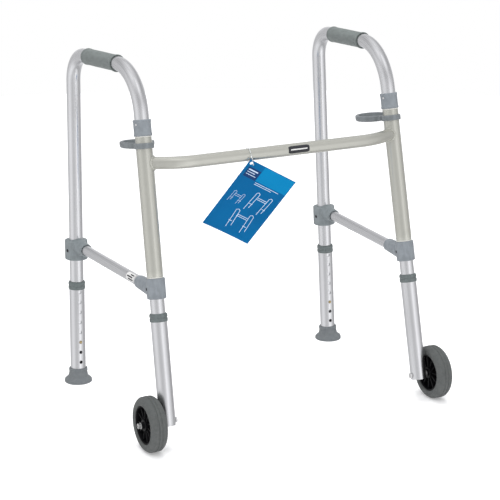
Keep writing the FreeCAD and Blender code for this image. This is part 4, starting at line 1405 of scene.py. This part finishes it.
def stage_backdrop():
    """A pale dome behind the floor, seen only by the camera."""
    bpy.ops.mesh.primitive_uv_sphere_add(segments=48, ring_count=24, radius=13.5)
    dome = bpy.context.object
    dome.name = "backdrop"
    material = bpy.data.materials.new("backdrop_white")
    material.use_nodes = True
    nodes = Nodes(material.node_tree)
    nodes.tree.nodes.clear()
    glow = nodes.node("Emission")
    glow.inputs["Color"].default_value = (1, 1, 1, 1)
    nodes.feed(nodes.node("OutputMaterial").inputs["Surface"], glow.outputs[0])
    dome.data.materials.append(material)
    for kind in ("diffuse", "glossy", "transmission", "volume_scatter", "shadow"):
        setattr(dome, "visible_" + kind, False)


VIEW_TURN = -26.70
VIEW_DROP = 16.79
CAMERA_AT = (-1.6859, -3.3447, 1.4492)
LENS = 132.1


def studio_light():
    """Pale light from all round, in broad upright bands like tall soft boxes."""
    scene = bpy.context.scene
    scene.view_settings.view_transform = "Standard"
    world = bpy.data.worlds.new("studio")
    scene.world = world
    world.use_nodes = True
    nodes = Nodes(world.node_tree)
    place = nodes.node("TexCoord").outputs["Generated"]
    turn = nodes.node("Mapping")
    turn.inputs["Rotation"].default_value = (0, 0, radians(90 - VIEW_TURN))
    nodes.feed(turn.inputs["Vector"], place)
    around = nodes.node("TexGradient", gradient_type="RADIAL")
    nodes.feed(around.inputs["Vector"], turn.outputs["Vector"])
    upward = nodes.node("SeparateXYZ")
    nodes.feed(upward.inputs["Vector"], place)
    rise = upward.outputs["Z"]
    bands = ((-180, 0.85), (-128, 0.6), (-62, 1.0), (-14, 0.64), (14, 0.74), (38, 1.38),
             (62, 0.98), (106, 0.47), (150, 0.62), (180, 0.85))
    upright = nodes.ramp(around.outputs["Fac"],
                         [(0.5 + angle / 360, level) for angle, level in bands])
    heights = ((-90, 0.75), (-60, 0.95), (-36, 1.08), (-17, 1.0), (6, 1.0), (38, 0.7),
               (60, 1.05), (76, 1.2), (90, 1.0))
    layers = nodes.ramp(nodes.ranged(rise, From_Min=-1.0),
                        [((1 + sin(radians(angle))) / 2, level) for angle, level in heights])
    calm = nodes.ranged(rise, From_Max=0.3, To_Max=0.3)
    calmed = nodes.mixed(calm, upright, (0.85, 0.85, 0.86, 1))
    background = world.node_tree.nodes["Background"]
    nodes.feed(background.inputs["Color"], nodes.mixed(1.0, calmed, layers, blend="MULTIPLY"))
    background.inputs["Strength"].default_value = 1.0


def soft_box(name, place, target, size, power):
    light = bpy.data.lights.new(name, "AREA")
    light.shape = "RECTANGLE"
    light.size, light.size_y = size
    light.energy = power
    lamp = bpy.data.objects.new(name, light)
    bpy.context.scene.collection.objects.link(lamp)
    lamp.location = place
    lamp.visible_glossy = False
    lamp.rotation_euler = (Vector(target) - Vector(place)).to_track_quat("-Z", "Y").to_euler()


def camera():
    lens = bpy.data.cameras.new("camera")
    lens.lens = LENS
    lens.sensor_width = 36.0
    lens.clip_end = 60.0
    item = bpy.data.objects.new("camera", lens)
    bpy.context.scene.collection.objects.link(item)
    item.location = CAMERA_AT
    item.rotation_euler = (radians(90 - VIEW_DROP), 0, radians(VIEW_TURN))
    bpy.context.scene.camera = item


for side_name in NAMES:
    side_tube(side_name)
    grip(side_name)
    collar(side_name)
    brace(side_name)
    for leg_end in ("front", "rear"):
        connector(side_name, leg_end)
        extension(side_name, leg_end)
        button(side_name, leg_end)
        ring(side_name, leg_end)
    rivets(side_name)
    tip(side_name)
    tyre(side_name)
    hub(side_name)
    bush(side_name)
    bolt(side_name)
    nut(side_name)
    washers(side_name)
    sleeve(side_name)
    trigger(side_name)
crossbar()
tag()
tie()
labels()
carried_over()
stage_floor()
stage_backdrop()
studio_light()
soft_box("key_box", (-1.6, -2.2, 3.4), (0, 0, 0.4), (2.6, 2.6), 58)
soft_box("top_box", (0.4, 0.6, 4.2), (0, 0, 0.4), (3.0, 3.0), 114)
camera()
